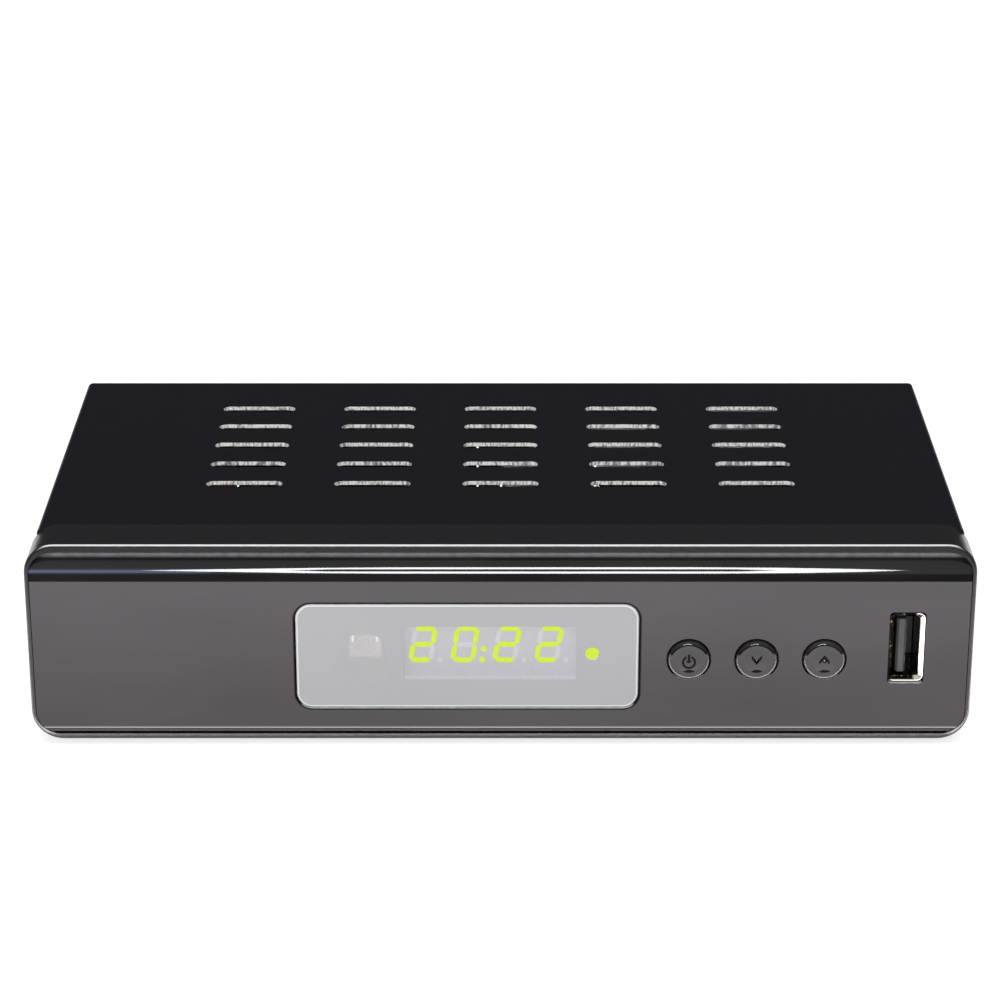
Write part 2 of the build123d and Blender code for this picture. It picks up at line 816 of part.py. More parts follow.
with BuildPart() as dark_segments:
    with BuildSketch(face_plane(display_face)):
        for x, digit in zip(digit_x, shown_digits):
            for name in segment_places:
                if name not in lit_by_digit[digit]:
                    with BuildLine():
                        Polyline(*segment_outline(name, x, digits_z), close=True)
                    make_face()
        # Decimal points, except where the colon takes the place of one.
        with Locations([(x + point_offset, digits_z - half_height) for index, x in enumerate(digit_x)
                        if index != colon_after]):
            Rectangle(point_size, point_size)
    extrude(amount=-segment_thick)
dark_segments.part.label = "dark_segments"
export_step(dark_segments.part, "parts/dark_segments.step")

with BuildPart() as ir_receiver:
    eye_face = front_board_face - eye_depth
    with BuildSketch(face_plane(eye_face)):
        with Locations((eye_x, controls_z + eye_rise)):
            Rectangle(eye_width, eye_height)
    extrude(amount=-eye_depth)
    with BuildSketch(turning_plane(eye_x, controls_z + eye_rise)):
        with BuildLine():
            TangentArc((0, eye_face - eye_dome_proud), (eye_dome, eye_face), tangent=(1, 0))
            Polyline((eye_dome, eye_face), (0, eye_face), (0, eye_face - eye_dome_proud))
        make_face()
    revolve(axis=axis_at(eye_x, controls_z + eye_rise))
ir_receiver.part.label = "ir_receiver"
export_step(ir_receiver.part, "parts/ir_receiver.step")

with BuildPart() as status_lamp:
    with BuildSketch(turning_plane(lamp_x, controls_z)):
        with BuildLine():
            CenterArc((0, lamp_tip + lamp_radius), lamp_radius, 270, 90)
            Polyline((lamp_radius, lamp_tip + lamp_radius), (lamp_radius, lamp_back - lamp_rim),
                     (lamp_rim_radius, lamp_back - lamp_rim), (lamp_rim_radius, lamp_back),
                     (0, lamp_back), (0, lamp_tip))
        make_face()
    revolve(axis=axis_at(lamp_x, controls_z))
status_lamp.part.label = "status_lamp"
export_step(status_lamp.part, "parts/status_lamp.step")

with BuildPart() as lamp_spacer:
    with BuildSketch(face_plane(lamp_back)):
        with Locations((lamp_x, controls_z)):
            Circle(spacer_radius)
            Circle(spacer_bore, mode=Mode.SUBTRACT)
    extrude(amount=-(front_board_face - lamp_back))
lamp_spacer.part.label = "lamp_spacer"
export_step(lamp_spacer.part, "parts/lamp_spacer.step")


# ---- Front USB socket, standing on edge ----------------------------------------------
usb_throat = usb_set_back + usb_flare_length
usb_back = usb_set_back + usb_length
with BuildPart() as front_usb_shell:
    # The tube and its flared mouth, first as solids and then hollowed by the same shapes, smaller
    # all round by the wall, which thins towards the lip.
    for inset, lip_inset, mode in ((0, 0, Mode.ADD), (usb_wall, usb_lip, Mode.SUBTRACT)):
        with BuildSketch(face_plane(usb_throat)):
            with Locations((usb_x, usb_z)):
                RectangleRounded(usb_width - 2 * inset, usb_height - 2 * inset, usb_corner - inset)
        extrude(amount=-(usb_back - usb_throat), mode=mode)
        for depth, growth in ((usb_set_back, usb_flare - lip_inset), (usb_throat, -inset)):
            with BuildSketch(face_plane(depth)):
                with Locations((usb_x, usb_z)):
                    RectangleRounded(usb_width + 2 * growth, usb_height + 2 * growth,
                                     usb_corner + growth)
        loft(mode=mode)
    # Mounting legs, down to the board.
    usb_low = usb_z - usb_height / 2
    with BuildSketch(level_plane(board_top)):
        for leg_x in (usb_x - usb_width / 2 + usb_wall / 2, usb_x + usb_width / 2 - usb_wall / 2):
            with Locations([(leg_x, place) for place in usb_leg_places]):
                Rectangle(usb_wall, usb_leg_width)
    extrude(amount=usb_low + usb_corner - board_top)
front_usb_shell.part.label = "front_usb_shell"
export_step(front_usb_shell.part, "parts/front_usb_shell.step")

usb_tongue_x = usb_x + usb_tongue_offset
usb_inner_width = usb_width - 2 * usb_wall - 2 * seam
usb_inner_height = usb_height - 2 * usb_wall - 2 * seam
with BuildPart() as front_usb_tongue:
    with BuildSketch(face_plane(usb_tongue_set_back)):
        with Locations((usb_tongue_x, usb_z)):
            Rectangle(usb_tongue_thick, usb_tongue_height)
    extrude(amount=-(usb_back - usb_tongue_set_back))
    chamfer(front_usb_tongue.faces().sort_by(Axis.Y)[0].edges().filter_by(Axis.Z), usb_tongue_edge)
    with BuildSketch(face_plane(usb_back - usb_block_depth)):
        with Locations((usb_x, usb_z)):
            RectangleRounded(usb_inner_width, usb_inner_height, usb_corner - usb_wall)
    extrude(amount=-usb_block_depth)
front_usb_tongue.part.label = "front_usb_tongue"
export_step(front_usb_tongue.part, "parts/front_usb_tongue.step")

with BuildPart() as front_usb_contacts:
    with BuildSketch(face_plane(usb_tongue_set_back + usb_contact_set_back)):
        with Locations([(usb_tongue_x + (usb_tongue_thick + usb_contact_thick) / 2, usb_z + height)
                        for height in usb_contact_heights]):
            Rectangle(usb_contact_thick, usb_contact_width)
    extrude(amount=-usb_contact_length)
front_usb_contacts.part.label = "front_usb_contacts"
export_step(front_usb_contacts.part, "parts/front_usb_contacts.step")


# ---- Sheet steel case ----------------------------------------------------------------
with BuildPart() as top_cover:
    with BuildSketch(face_plane(cover_front)):
        with BuildLine():
            half = cover_width / 2
            FilletPolyline((-half, base_low), (-half, cover_top), (half, cover_top),
                           (half, base_low), radius=cover_bend)
            Line((half, base_low), (half - sheet, base_low))
            FilletPolyline((half - sheet, base_low), (half - sheet, cover_top - sheet),
                           (-half + sheet, cover_top - sheet), (-half + sheet, base_low),
                           radius=cover_bend - sheet)
            Line((-half + sheet, base_low), (-half, base_low))
        make_face()
    extrude(amount=-(cover_back - cover_front))
    # Rows of vent slots in the top.
    with BuildSketch(level_plane(cover_top)):
        with Locations((0, slot_first_row + (slot_rows - 1) * slot_row_pitch / 2)):
            with GridLocations(slot_column_pitch, slot_row_pitch, slot_columns, slot_rows):
                SlotOverall(slot_length, slot_width)
    extrude(amount=-sheet, mode=Mode.SUBTRACT)
    # Screw holes low in both sides.
    with BuildSketch(side_plane(-cover_width)):
        with Locations([(place, side_screw_z) for place in side_screw_places]):
            Circle(screw_radius + screw_hole_gap)
    extrude(amount=2 * cover_width, mode=Mode.SUBTRACT)
top_cover.part.label = "top_cover"
export_step(top_cover.part, "parts/top_cover.step")

socket_z = {
    "aerial": board_top + aerial_rise,
    "ethernet": board_top + ethernet_height / 2,
    "hdmi": board_top + hdmi_rise + hdmi_height / 2,
    "scart": board_top + scart_rise + scart_height / 2,
    "audio": board_top + audio_rise,
    "power": board_top + power_height / 2,
}


def scart_corners(growth):
    """Corners of the twenty-one-pin socket with one slanted end, larger all round by the growth."""
    left, right = scart_x - scart_width / 2 - growth, scart_x + scart_width / 2 + growth
    low = socket_z["scart"] - scart_height / 2 - growth
    high = socket_z["scart"] + scart_height / 2 + growth
    return [(left, high), (right, high), (right, low), (left + scart_slant, low)]


def hdmi_corners(growth):
    """Corners of the HDMI shell with chamfered lower corners, larger all round by the growth."""
    left, right = hdmi_x - hdmi_width / 2 - growth, hdmi_x + hdmi_width / 2 + growth
    low = socket_z["hdmi"] - hdmi_height / 2 - growth
    high = socket_z["hdmi"] + hdmi_height / 2 + growth
    return [(left, high), (right, high), (right, low + hdmi_chamfer), (right - hdmi_chamfer, low),
            (left + hdmi_chamfer, low), (left, low + hdmi_chamfer)]


with BuildPart() as chassis_pan:
    pan_middle = (pan_front + rear_face) / 2
    with BuildSketch(level_plane(base_low)):
        with Locations((0, pan_middle)):
            Rectangle(2 * pan_half, rear_face - pan_front)
    extrude(amount=pan_side_height)
    front_corners = chassis_pan.edges().filter_by(Axis.Z).group_by(Axis.Y)[0]
    fillet(front_corners, pan_bend)
    underside = chassis_pan.faces().sort_by(Axis.Z)[0]
    fillet(underside.edges().sort_by(Axis.Y)[:-1], pan_bend)
    # Open at the top, and at the rear, where the rear panel closes it.
    offset(amount=-sheet, openings=[chassis_pan.faces().sort_by(Axis.Z)[-1],
                                    chassis_pan.faces().sort_by(Axis.Y)[-1]])
    # The front lip is lower than the sides.
    with BuildSketch(side_plane(-cover_width)):
        with BuildLine():
            Polyline((0, base_low + pan_front_lip), (pan_front + pan_side_height, base_low + pan_front_lip),
                     (pan_front + pan_side_height, base_low + pan_side_height + beyond),
                     (0, base_low + pan_side_height + beyond), close=True)
        make_face()
    extrude(amount=2 * cover_width, mode=Mode.SUBTRACT)
    # Its front corners stop short of the moulded front's rounded ones.
    reach_in = cover_front - pan_front
    with BuildSketch(level_plane(base_low - beyond)):
        with Locations((0, pan_front)):
            Rectangle(2 * pan_half, 2 * reach_in)
            Rectangle(2 * pan_front_half, 2 * reach_in, mode=Mode.SUBTRACT)
    extrude(amount=pan_side_height, mode=Mode.SUBTRACT)
    # Drawn standoffs that carry the main board, hollow below.
    for place in standoff_places:
        with BuildSketch(level_plane(base_top)):
            with Locations(place):
                Circle(standoff_foot_radius)
        with BuildSketch(level_plane(board_low)):
            with Locations(place):
                Circle(standoff_top_radius)
        loft()
    for place in standoff_places:
        with BuildSketch(level_plane(base_low)):
            with Locations(place):
                Circle(standoff_foot_radius - sheet / 2)
        with BuildSketch(level_plane(board_low - sheet)):
            with Locations(place):
                Circle(standoff_top_radius - sheet)
        loft(mode=Mode.SUBTRACT)
    with BuildSketch(level_plane(board_low - 2 * sheet)):
        with Locations(standoff_places):
            Circle(fixing_bore)
    extrude(amount=3 * sheet, mode=Mode.SUBTRACT)
    # Vent slots in the base, and holes for the cover's screws.
    with BuildSketch(level_plane(base_low - beyond)):
        with Locations((0, pan_middle)):
            with GridLocations(base_slot_column_pitch, base_slot_row_pitch,
                               base_slot_columns, base_slot_rows):
                SlotOverall(base_slot_length, base_slot_width)
    extrude(amount=sheet + 2 * beyond, mode=Mode.SUBTRACT)
    with BuildSketch(side_plane(-cover_width)):
        with Locations([(place, side_screw_z) for place in side_screw_places]):
            Circle(screw_radius)
    extrude(amount=2 * cover_width, mode=Mode.SUBTRACT)
chassis_pan.part.label = "chassis_pan"
export_step(chassis_pan.part, "parts/chassis_pan.step")

# The rear panel is a flat sheet that stands in the pan, with its lower edge folded forward as a
# foot.
with BuildPart() as rear_panel:
    with BuildSketch(face_plane(rear_face - rear_flange)):
        with Locations((0, (base_top + pan_top) / 2)):
            Rectangle(2 * (pan_half - sheet), pan_top - base_top)
    extrude(amount=-rear_flange)
    fillet(rear_panel.faces().sort_by(Axis.Z)[0].edges().sort_by(Axis.Y)[-1], pan_bend)
    offset(amount=-sheet, openings=[rear_panel.faces().sort_by(Axis.Z)[-1],
                                    rear_panel.faces().sort_by(Axis.Y)[0],
                                    rear_panel.faces().sort_by(Axis.X)[0],
                                    rear_panel.faces().sort_by(Axis.X)[-1]])
    with BuildSketch(face_plane(rear_face - rear_flange - beyond)):
        with Locations((0, (base_top + pan_top) / 2)):
            RectangleRounded(2 * (pan_half - sheet), pan_top - base_top, pan_bend)
    extrude(amount=-(rear_flange + 2 * beyond), mode=Mode.INTERSECT)
    # Sockets' cut-outs.
    with BuildSketch(face_plane(rear_inner - beyond)):
        with Locations([(x, socket_z["aerial"]) for x in aerial_x]):
            Circle(thread_relief_radius + panel_gap)
        with Locations((ethernet_x, socket_z["ethernet"])):
            Rectangle(ethernet_width + 2 * panel_gap, ethernet_height + 2 * panel_gap)
        with Locations((audio_x, socket_z["audio"])):
            Circle(audio_collar_radius + panel_gap)
        with Locations((power_x, socket_z["power"])):
            Rectangle(power_width + 2 * panel_gap, power_height + 2 * panel_gap)
        for corners in (scart_corners(panel_gap), hdmi_corners(panel_gap)):
            with BuildLine():
                Polyline(*corners, close=True)
            make_face()
    extrude(amount=-(sheet + 2 * beyond), mode=Mode.SUBTRACT)
rear_panel.part.label = "rear_panel"
export_step(rear_panel.part, "parts/rear_panel.step")

with BuildPart() as feet:
    foot_places = [(-foot_x, foot_front), (foot_x, foot_front), (-foot_x, foot_rear), (foot_x, foot_rear)]
    with BuildSketch(level_plane(0)):
        with Locations(foot_places):
            Circle(foot_radius)
    extrude(amount=foot_height)
    chamfer(feet.faces().group_by(Axis.Z)[0].edges(), foot_edge)
    # Shallow dish in the sole of each.
    with BuildSketch(level_plane(0)):
        with Locations(foot_places):
            Circle(foot_dish_radius)
    extrude(amount=foot_dish, mode=Mode.SUBTRACT)
feet.part.label = "feet"
export_step(feet.part, "parts/feet.step")

with BuildPart() as cover_screws:
    for side in (-1, 1):
        outside = Plane(origin=(side * cover_width / 2, front_y, 0), x_dir=(0, side, 0),
                        z_dir=(side, 0, 0))
        with BuildSketch(outside):
            with Locations([(side * place, side_screw_z) for place in side_screw_places]):
                Circle(screw_head_radius)
        extrude(amount=side_screw_head)
        with BuildSketch(outside):
            with Locations([(side * place, side_screw_z) for place in side_screw_places]):
                Circle(screw_radius - sheet_gap / 2)
        extrude(amount=-side_screw_length)
    for outer in (cover_screws.faces().group_by(Axis.X)[0], cover_screws.faces().group_by(Axis.X)[-1]):
        fillet(outer.edges(), side_screw_head / 2)
cover_screws.part.label = "cover_screws"
export_step(cover_screws.part, "parts/cover_screws.step")


# ---- Main board ----------------------------------------------------------------------
with BuildPart() as main_board:
    with BuildSketch(level_plane(board_low)):
        with BuildLine():
            Polyline((board_left, board_front), (board_tongue_left, board_front),
                     (board_tongue_left, board_tongue_front), (board_right, board_tongue_front),
                     (board_right, board_back), (board_left, board_back), close=True)
        make_face()
        with Locations(standoff_places):
            Circle(screw_radius + screw_hole_gap, mode=Mode.SUBTRACT)
    extrude(amount=board_thick)
main_board.part.label = "main_board"
export_step(main_board.part, "parts/main_board.step")

with BuildPart() as board_screws:
    # The same screw holds the main board on its standoffs and the front board on its bosses.
    for spots, head_plane in ((standoff_places, level_plane(board_top)),
                              ([(x, -boss_z) for x in boss_places], rear_plane(front_board_back))):
        with BuildSketch(head_plane):
            with Locations(spots):
                Circle(screw_head_radius)
        heads = extrude(amount=board_screw_head)
        outward = Axis(head_plane.origin, head_plane.z_dir)
        fillet(heads.faces().group_by(outward)[-1].edges(), board_screw_head / 2)
        with BuildSketch(head_plane):
            with Locations(spots):
                Circle(fixing_bore)
        extrude(amount=-board_screw_length)
board_screws.part.label = "board_screws"
export_step(board_screws.part, "parts/board_screws.step")


def board_spot(x, y, lift=0.0):
    """Place on top of the main board, y behind the front face, lifted off the board if need be."""
    return (x, front_y + y, board_top + lift)


standing = (Align.CENTER, Align.CENTER, Align.MIN)

with BuildPart() as main_chip:
    with Locations(board_spot(chip_x, chip_y)):
        Box(chip_side, chip_side, chip_height, align=standing)
    chamfer(main_chip.edges().filter_by(Axis.Z), chip_corner)
main_chip.part.label = "main_chip"
export_step(main_chip.part, "parts/main_chip.step")

with BuildPart() as heatsink:
    with Locations(board_spot(chip_x, chip_y, chip_height)):
        Box(heatsink_side, heatsink_side, heatsink_base, align=standing)
    with BuildSketch(level_plane(board_top + chip_height + heatsink_base)):
        with Locations((chip_x, chip_y)):
            fin_pitch = (heatsink_side - heatsink_fin_thick) / (heatsink_fins - 1)
            with GridLocations(fin_pitch, fin_pitch, heatsink_fins, 1):
                Rectangle(heatsink_fin_thick, heatsink_side)
    extrude(amount=heatsink_height - heatsink_base)
heatsink.part.label = "heatsink"
export_step(heatsink.part, "parts/heatsink.step")

with BuildPart() as memory_chips:
    for x, y in memory_places:
        with Locations(board_spot(x, y)):
            Box(memory_width, memory_depth, memory_height, align=standing)
memory_chips.part.label = "memory_chips"
export_step(memory_chips.part, "parts/memory_chips.step")

with BuildPart() as flash_chips:
    for x, y in flash_places:
        with Locations(board_spot(x, y, leg_thick)):
            Box(flash_width, flash_depth, flash_height - leg_thick, align=standing)
        # Bent legs along both sides.
        for side in (-1, 1):
            for index in range(leg_count):
                leg_y = y + (index - (leg_count - 1) / 2) * leg_pitch
                with Locations(board_spot(x + side * (flash_width + leg_reach) / 2, leg_y)):
                    Box(leg_reach + leg_thick, leg_width, flash_height / 2, align=standing)
flash_chips.part.label = "flash_chips"
export_step(flash_chips.part, "parts/flash_chips.step")

with BuildPart() as capacitors:
    with BuildSketch(level_plane(board_top)):
        with Locations(capacitor_places):
            Circle(capacitor_radius)
    extrude(amount=capacitor_height)
    fillet(capacitors.edges().group_by(Axis.Z)[-1], capacitor_edge)
    # Rolled groove near the foot of each can.
    with BuildSketch(level_plane(board_top + capacitor_groove_rise)):
        with Locations(capacitor_places):
            Circle(capacitor_radius + beyond)
            Circle(capacitor_radius - capacitor_groove, mode=Mode.SUBTRACT)
    extrude(amount=2 * capacitor_groove, mode=Mode.SUBTRACT)
capacitors.part.label = "capacitors"
export_step(capacitors.part, "parts/capacitors.step")

with BuildPart() as inductors:
    for x, y in inductor_places:
        with Locations(board_spot(x, y)):
            Box(inductor_side, inductor_side, inductor_height, align=standing)
    chamfer(inductors.edges().filter_by(Axis.Z), inductor_corner)
inductors.part.label = "inductors"
export_step(inductors.part, "parts/inductors.step")

with BuildPart() as crystal:
    with BuildSketch(level_plane(board_top)):
        with Locations((crystal_x, crystal_y)):
            SlotOverall(crystal_length, crystal_width)
    extrude(amount=crystal_base)
    with BuildSketch(level_plane(board_top + crystal_base)):
        with Locations((crystal_x, crystal_y)):
            SlotOverall(crystal_length - 2 * crystal_lip, crystal_width - 2 * crystal_lip)
    extrude(amount=crystal_height - crystal_base)
    fillet(crystal.faces().sort_by(Axis.Z)[-1].edges(), crystal_lip)
crystal.part.label = "crystal"
export_step(crystal.part, "parts/crystal.step")


# ---- Ribbon between the two boards ---------------------------------------------------
with BuildPart() as front_header:
    with BuildSketch(face_plane(front_board_back)):
        with Locations((ribbon_x, front_header_z)):
            Rectangle(header_width, header_thick)
    extrude(amount=-header_length)
front_header.part.label = "front_header"
export_step(front_header.part, "parts/front_header.step")

with BuildPart() as main_header:
    with Locations(board_spot(ribbon_x, main_header_y)):
        Box(header_width, header_thick, header_length, align=standing)
main_header.part.label = "main_header"
export_step(main_header.part, "parts/main_header.step")

with BuildPart() as ribbon_cable:
    ribbon_start = front_board_back + header_length
    ribbon_end = board_top + header_length
    half = ribbon_thick / 2
    with BuildSketch(side_plane(ribbon_x)):
        with BuildLine():
            FilletPolyline((ribbon_start, front_header_z + half),
                           (main_header_y + half, front_header_z + half),
                           (main_header_y + half, ribbon_end), radius=ribbon_bend + half)
            Line((main_header_y + half, ribbon_end), (main_header_y - half, ribbon_end))
            FilletPolyline((main_header_y - half, ribbon_end),
                           (main_header_y - half, front_header_z - half),
                           (ribbon_start, front_header_z - half), radius=ribbon_bend - half)
            Line((ribbon_start, front_header_z - half), (ribbon_start, front_header_z + half))
        make_face()
    extrude(amount=ribbon_width / 2, both=True)
ribbon_cable.part.label = "ribbon_cable"
export_step(ribbon_cable.part, "parts/ribbon_cable.step")


# ---- Tuner and the aerial sockets ----------------------------------------------------
tuner_back = rear_inner - seam
tuner_middle = tuner_back - tuner_depth / 2
tuner_top = board_top + tuner_height
with BuildPart() as tuner_can:
    with Locations(board_spot(tuner_x, tuner_middle)):
        Box(tuner_width, tuner_depth, tuner_height, align=standing)
    fillet(tuner_can.edges().filter_by(Axis.Z), tuner_corner)
tuner_can.part.label = "tuner_can"
export_step(tuner_can.part, "parts/tuner_can.step")

with BuildPart() as tuner_lid:
    # Shallow lid over the can, with a skirt on three sides and two pressed ribs.
    with BuildSketch(level_plane(tuner_top - tuner_lid_skirt)):
        with Locations((tuner_x, tuner_middle - tuner_lid_thick / 2)):
            RectangleRounded(tuner_width + 2 * tuner_lid_thick, tuner_depth + tuner_lid_thick,
                             tuner_corner)
    extrude(amount=tuner_lid_skirt + tuner_lid_thick)
    with BuildSketch(level_plane(tuner_top - tuner_lid_skirt)):
        with Locations((tuner_x, tuner_middle)):
            Rectangle(tuner_width, tuner_depth)
    extrude(amount=tuner_lid_skirt, mode=Mode.SUBTRACT)
    with BuildSketch(level_plane(tuner_top + tuner_lid_thick)):
        with Locations((tuner_x, tuner_middle)):
            with GridLocations(tuner_rib_pitch, tuner_rib_pitch, 1, 2):
                SlotOverall(tuner_rib_width, tuner_rib_depth)
    extrude(amount=tuner_rib_rise, taper=tuner_rib_slope)
tuner_lid.part.label = "tuner_lid"
export_step(tuner_lid.part, "parts/tuner_lid.step")

washer_front = rear_face
nut_front = washer_front + washer_thick
nut_back = nut_front + nut_thick
for aerial_name, x in zip(aerial_names, aerial_x):
    z = socket_z["aerial"]
    with BuildPart() as socket:
        with BuildSketch(turning_plane(x, z)):
            with BuildLine():
                Polyline((aerial_bore_radius, tuner_back), (thread_relief_radius, tuner_back),
                         (thread_relief_radius, nut_back), (thread_radius, nut_back),
                         (thread_radius, aerial_end - thread_chamfer),
                         (thread_radius - thread_chamfer, aerial_end),
                         (aerial_bore_radius, aerial_end), close=True)
            make_face()
        revolve(axis=axis_at(x, z))
    socket.part.label = f"{aerial_name}_socket"
    export_step(socket.part, f"parts/{aerial_name}_socket.step")

insulator_end = aerial_end - aerial_insulator_set_back
contact_end = insulator_end - aerial_lip
contact_radius = aerial_pin_hole + aerial_contact_wall
with BuildPart() as aerial_insulators:
    for x in aerial_x:
        with BuildSketch(turning_plane(x, socket_z["aerial"])):
            with BuildLine():
                Polyline((contact_radius, tuner_back), (aerial_bore_radius, tuner_back),
                         (aerial_bore_radius, insulator_end), (aerial_pin_hole, insulator_end),
                         (aerial_pin_hole, contact_end), (contact_radius, contact_end), close=True)
            make_face()
        revolve(axis=axis_at(x, socket_z["aerial"]))
aerial_insulators.part.label = "aerial_insulators"
export_step(aerial_insulators.part, "parts/aerial_insulators.step")

with BuildPart() as aerial_contacts:
    with BuildSketch(face_plane(tuner_back)):
        with Locations([(x, socket_z["aerial"]) for x in aerial_x]):
            Circle(contact_radius)
            Circle(aerial_pin_hole, mode=Mode.SUBTRACT)
    extrude(amount=-(contact_end - tuner_back))
aerial_contacts.part.label = "aerial_contacts"
export_step(aerial_contacts.part, "parts/aerial_contacts.step")

with BuildPart() as aerial_washers:
    with BuildSketch(face_plane(washer_front)):
        with Locations([(x, socket_z["aerial"]) for x in aerial_x]):
            Circle(washer_radius)
            Circle(thread_relief_radius + nut_gap, mode=Mode.SUBTRACT)
    extrude(amount=-washer_thick)
aerial_washers.part.label = "aerial_washers"
export_step(aerial_washers.part, "parts/aerial_washers.step")

with BuildPart() as aerial_nuts:
    with BuildSketch(face_plane(nut_front)):
        with Locations([(x, socket_z["aerial"]) for x in aerial_x]):
            RegularPolygon(nut_across_flats / 2, 6, major_radius=False)
            Circle(thread_relief_radius + nut_gap, mode=Mode.SUBTRACT)
    extrude(amount=-nut_thick)
aerial_nuts.part.label = "aerial_nuts"
export_step(aerial_nuts.part, "parts/aerial_nuts.step")


# ---- Other rear sockets --------------------------------------------------------------
ethernet_back = rear_face + ethernet_proud
ethernet_front = ethernet_back - ethernet_depth
with BuildPart() as ethernet_shell:
    with BuildSketch(face_plane(ethernet_front)):
        with Locations((ethernet_x, socket_z["ethernet"])):
            Rectangle(ethernet_width, ethernet_height)
            Rectangle(ethernet_width - 2 * ethernet_shell_wall, ethernet_height - 2 * ethernet_shell_wall,
                      mode=Mode.SUBTRACT)
    extrude(amount=-ethernet_depth)
ethernet_shell.part.label = "ethernet_shell"
export_step(ethernet_shell.part, "parts/ethernet_shell.step")

ethernet_hole_z = board_top + ethernet_hole_rise
with BuildPart() as ethernet_socket:
    with BuildSketch(face_plane(ethernet_front)):
        with Locations((ethernet_x, socket_z["ethernet"])):
            Rectangle(ethernet_width - 2 * ethernet_shell_wall, ethernet_height - 2 * ethernet_shell_wall)
    extrude(amount=-(ethernet_depth - ethernet_shell_wall))
    # Plug cavity with the stepped notch for the latch below.
    with BuildSketch(face_plane(ethernet_back)):
        with Locations((ethernet_x, ethernet_hole_z)):
            Rectangle(ethernet_hole_width, ethernet_hole_height)
        with Locations((ethernet_x, ethernet_hole_z - (ethernet_hole_height + latch_step) / 2)):
            Rectangle(latch_width, latch_step)
        with Locations((ethernet_x, ethernet_hole_z - ethernet_hole_height / 2 - 1.5 * latch_step)):
            Rectangle(latch_width / 2, latch_step)
    extrude(amount=ethernet_hole_depth, mode=Mode.SUBTRACT)
ethernet_socket.part.label = "ethernet_socket"
export_step(ethernet_socket.part, "parts/ethernet_socket.step")

with BuildPart() as ethernet_contacts:
    # Spring wires that slant down from the roof of the cavity.
    roof = ethernet_hole_z + ethernet_hole_height / 2
    mouth = ethernet_back - ethernet_shell_wall
    wire_end = mouth - ethernet_hole_depth + ethernet_contact_lead
    for index in range(ethernet_contact_count):
        x = ethernet_x + (index - (ethernet_contact_count - 1) / 2) * ethernet_contact_pitch
        with BuildSketch(side_plane(x)):
            with BuildLine():
                Polyline((mouth - ethernet_contact_lead, roof),
                         (wire_end + ethernet_contact_tip, roof - ethernet_contact_hang),
                         (wire_end, roof - ethernet_contact_hang), (wire_end, roof), close=True)
            make_face()
        extrude(amount=ethernet_contact_width / 2, both=True)
ethernet_contacts.part.label = "ethernet_contacts"
export_step(ethernet_contacts.part, "parts/ethernet_contacts.step")

hdmi_back = rear_face + hdmi_proud
hdmi_front = hdmi_back - hdmi_depth
with BuildPart() as hdmi_shell:
    with BuildSketch(face_plane(hdmi_front)):
        with BuildLine():
            Polyline(*hdmi_corners(0), close=True)
        make_face()
    extrude(amount=-hdmi_depth)
    with BuildSketch(face_plane(hdmi_back)):
        with BuildLine():
            Polyline(*hdmi_corners(-hdmi_wall), close=True)
        make_face()
    extrude(amount=hdmi_depth - hdmi_wall, mode=Mode.SUBTRACT)
    with BuildSketch(level_plane(board_top)):
        with Locations((hdmi_x - hdmi_width / 2 + hdmi_wall / 2, hdmi_front + hdmi_leg_place),
                       (hdmi_x + hdmi_width / 2 - hdmi_wall / 2, hdmi_front + hdmi_leg_place)):
            Rectangle(hdmi_wall, hdmi_leg_width)
    # Long enough to join the side walls above their chamfered corners.
    extrude(amount=hdmi_rise + hdmi_chamfer + hdmi_wall)
hdmi_shell.part.label = "hdmi_shell"
export_step(hdmi_shell.part, "parts/hdmi_shell.step")

with BuildPart() as hdmi_tongue:
    with BuildSketch(face_plane(hdmi_front + hdmi_wall)):
        with Locations((hdmi_x, socket_z["hdmi"])):
            Rectangle(hdmi_tongue_width, hdmi_tongue_thick)
    extrude(amount=-(hdmi_depth - hdmi_wall - hdmi_tongue_set_back))
hdmi_tongue.part.label = "hdmi_tongue"
export_step(hdmi_tongue.part, "parts/hdmi_tongue.step")

scart_back = rear_face + scart_proud
with BuildPart() as scart_socket:
    with BuildSketch(face_plane(scart_back - scart_depth)):
        with BuildLine():
            Polyline(*scart_corners(0), close=True)
        make_face()
    extrude(amount=-scart_depth)
    # Groove round the core, for the skirt of the plug.
    with BuildSketch(face_plane(scart_back)):
        with BuildLine():
            Polyline(*scart_corners(-scart_rim), close=True)
        make_face()
    extrude(amount=scart_groove_depth, mode=Mode.SUBTRACT)
    with BuildSketch(face_plane(scart_back - scart_groove_depth)):
        with BuildLine():
            Polyline(*scart_corners(-scart_rim - scart_groove), close=True)
        make_face()
    extrude(amount=-(scart_groove_depth - scart_rim))
    # Two staggered rows of contact slots.
    with BuildSketch(face_plane(scart_back - scart_rim)):
        for row, shift in ((1, scart_slot_pitch / 4), (-1, -scart_slot_pitch / 4)):
            with Locations((scart_x + scart_slant / 4 + shift, socket_z["scart"] + row * scart_slot_row)):
                with GridLocations(scart_slot_pitch, scart_slot_pitch, scart_slot_columns, 1):
                    Rectangle(scart_slot_width, scart_slot_height)
    extrude(amount=scart_slot_depth, mode=Mode.SUBTRACT)
    # Feet down to the board.
    with Locations(board_spot(scart_x, rear_inner - scart_depth / 2 + sheet)):
        Box(scart_width - 2 * scart_slant, scart_depth / 2, scart_rise + scart_rim, align=standing)
scart_socket.part.label = "scart_socket"
export_step(scart_socket.part, "parts/scart_socket.step")

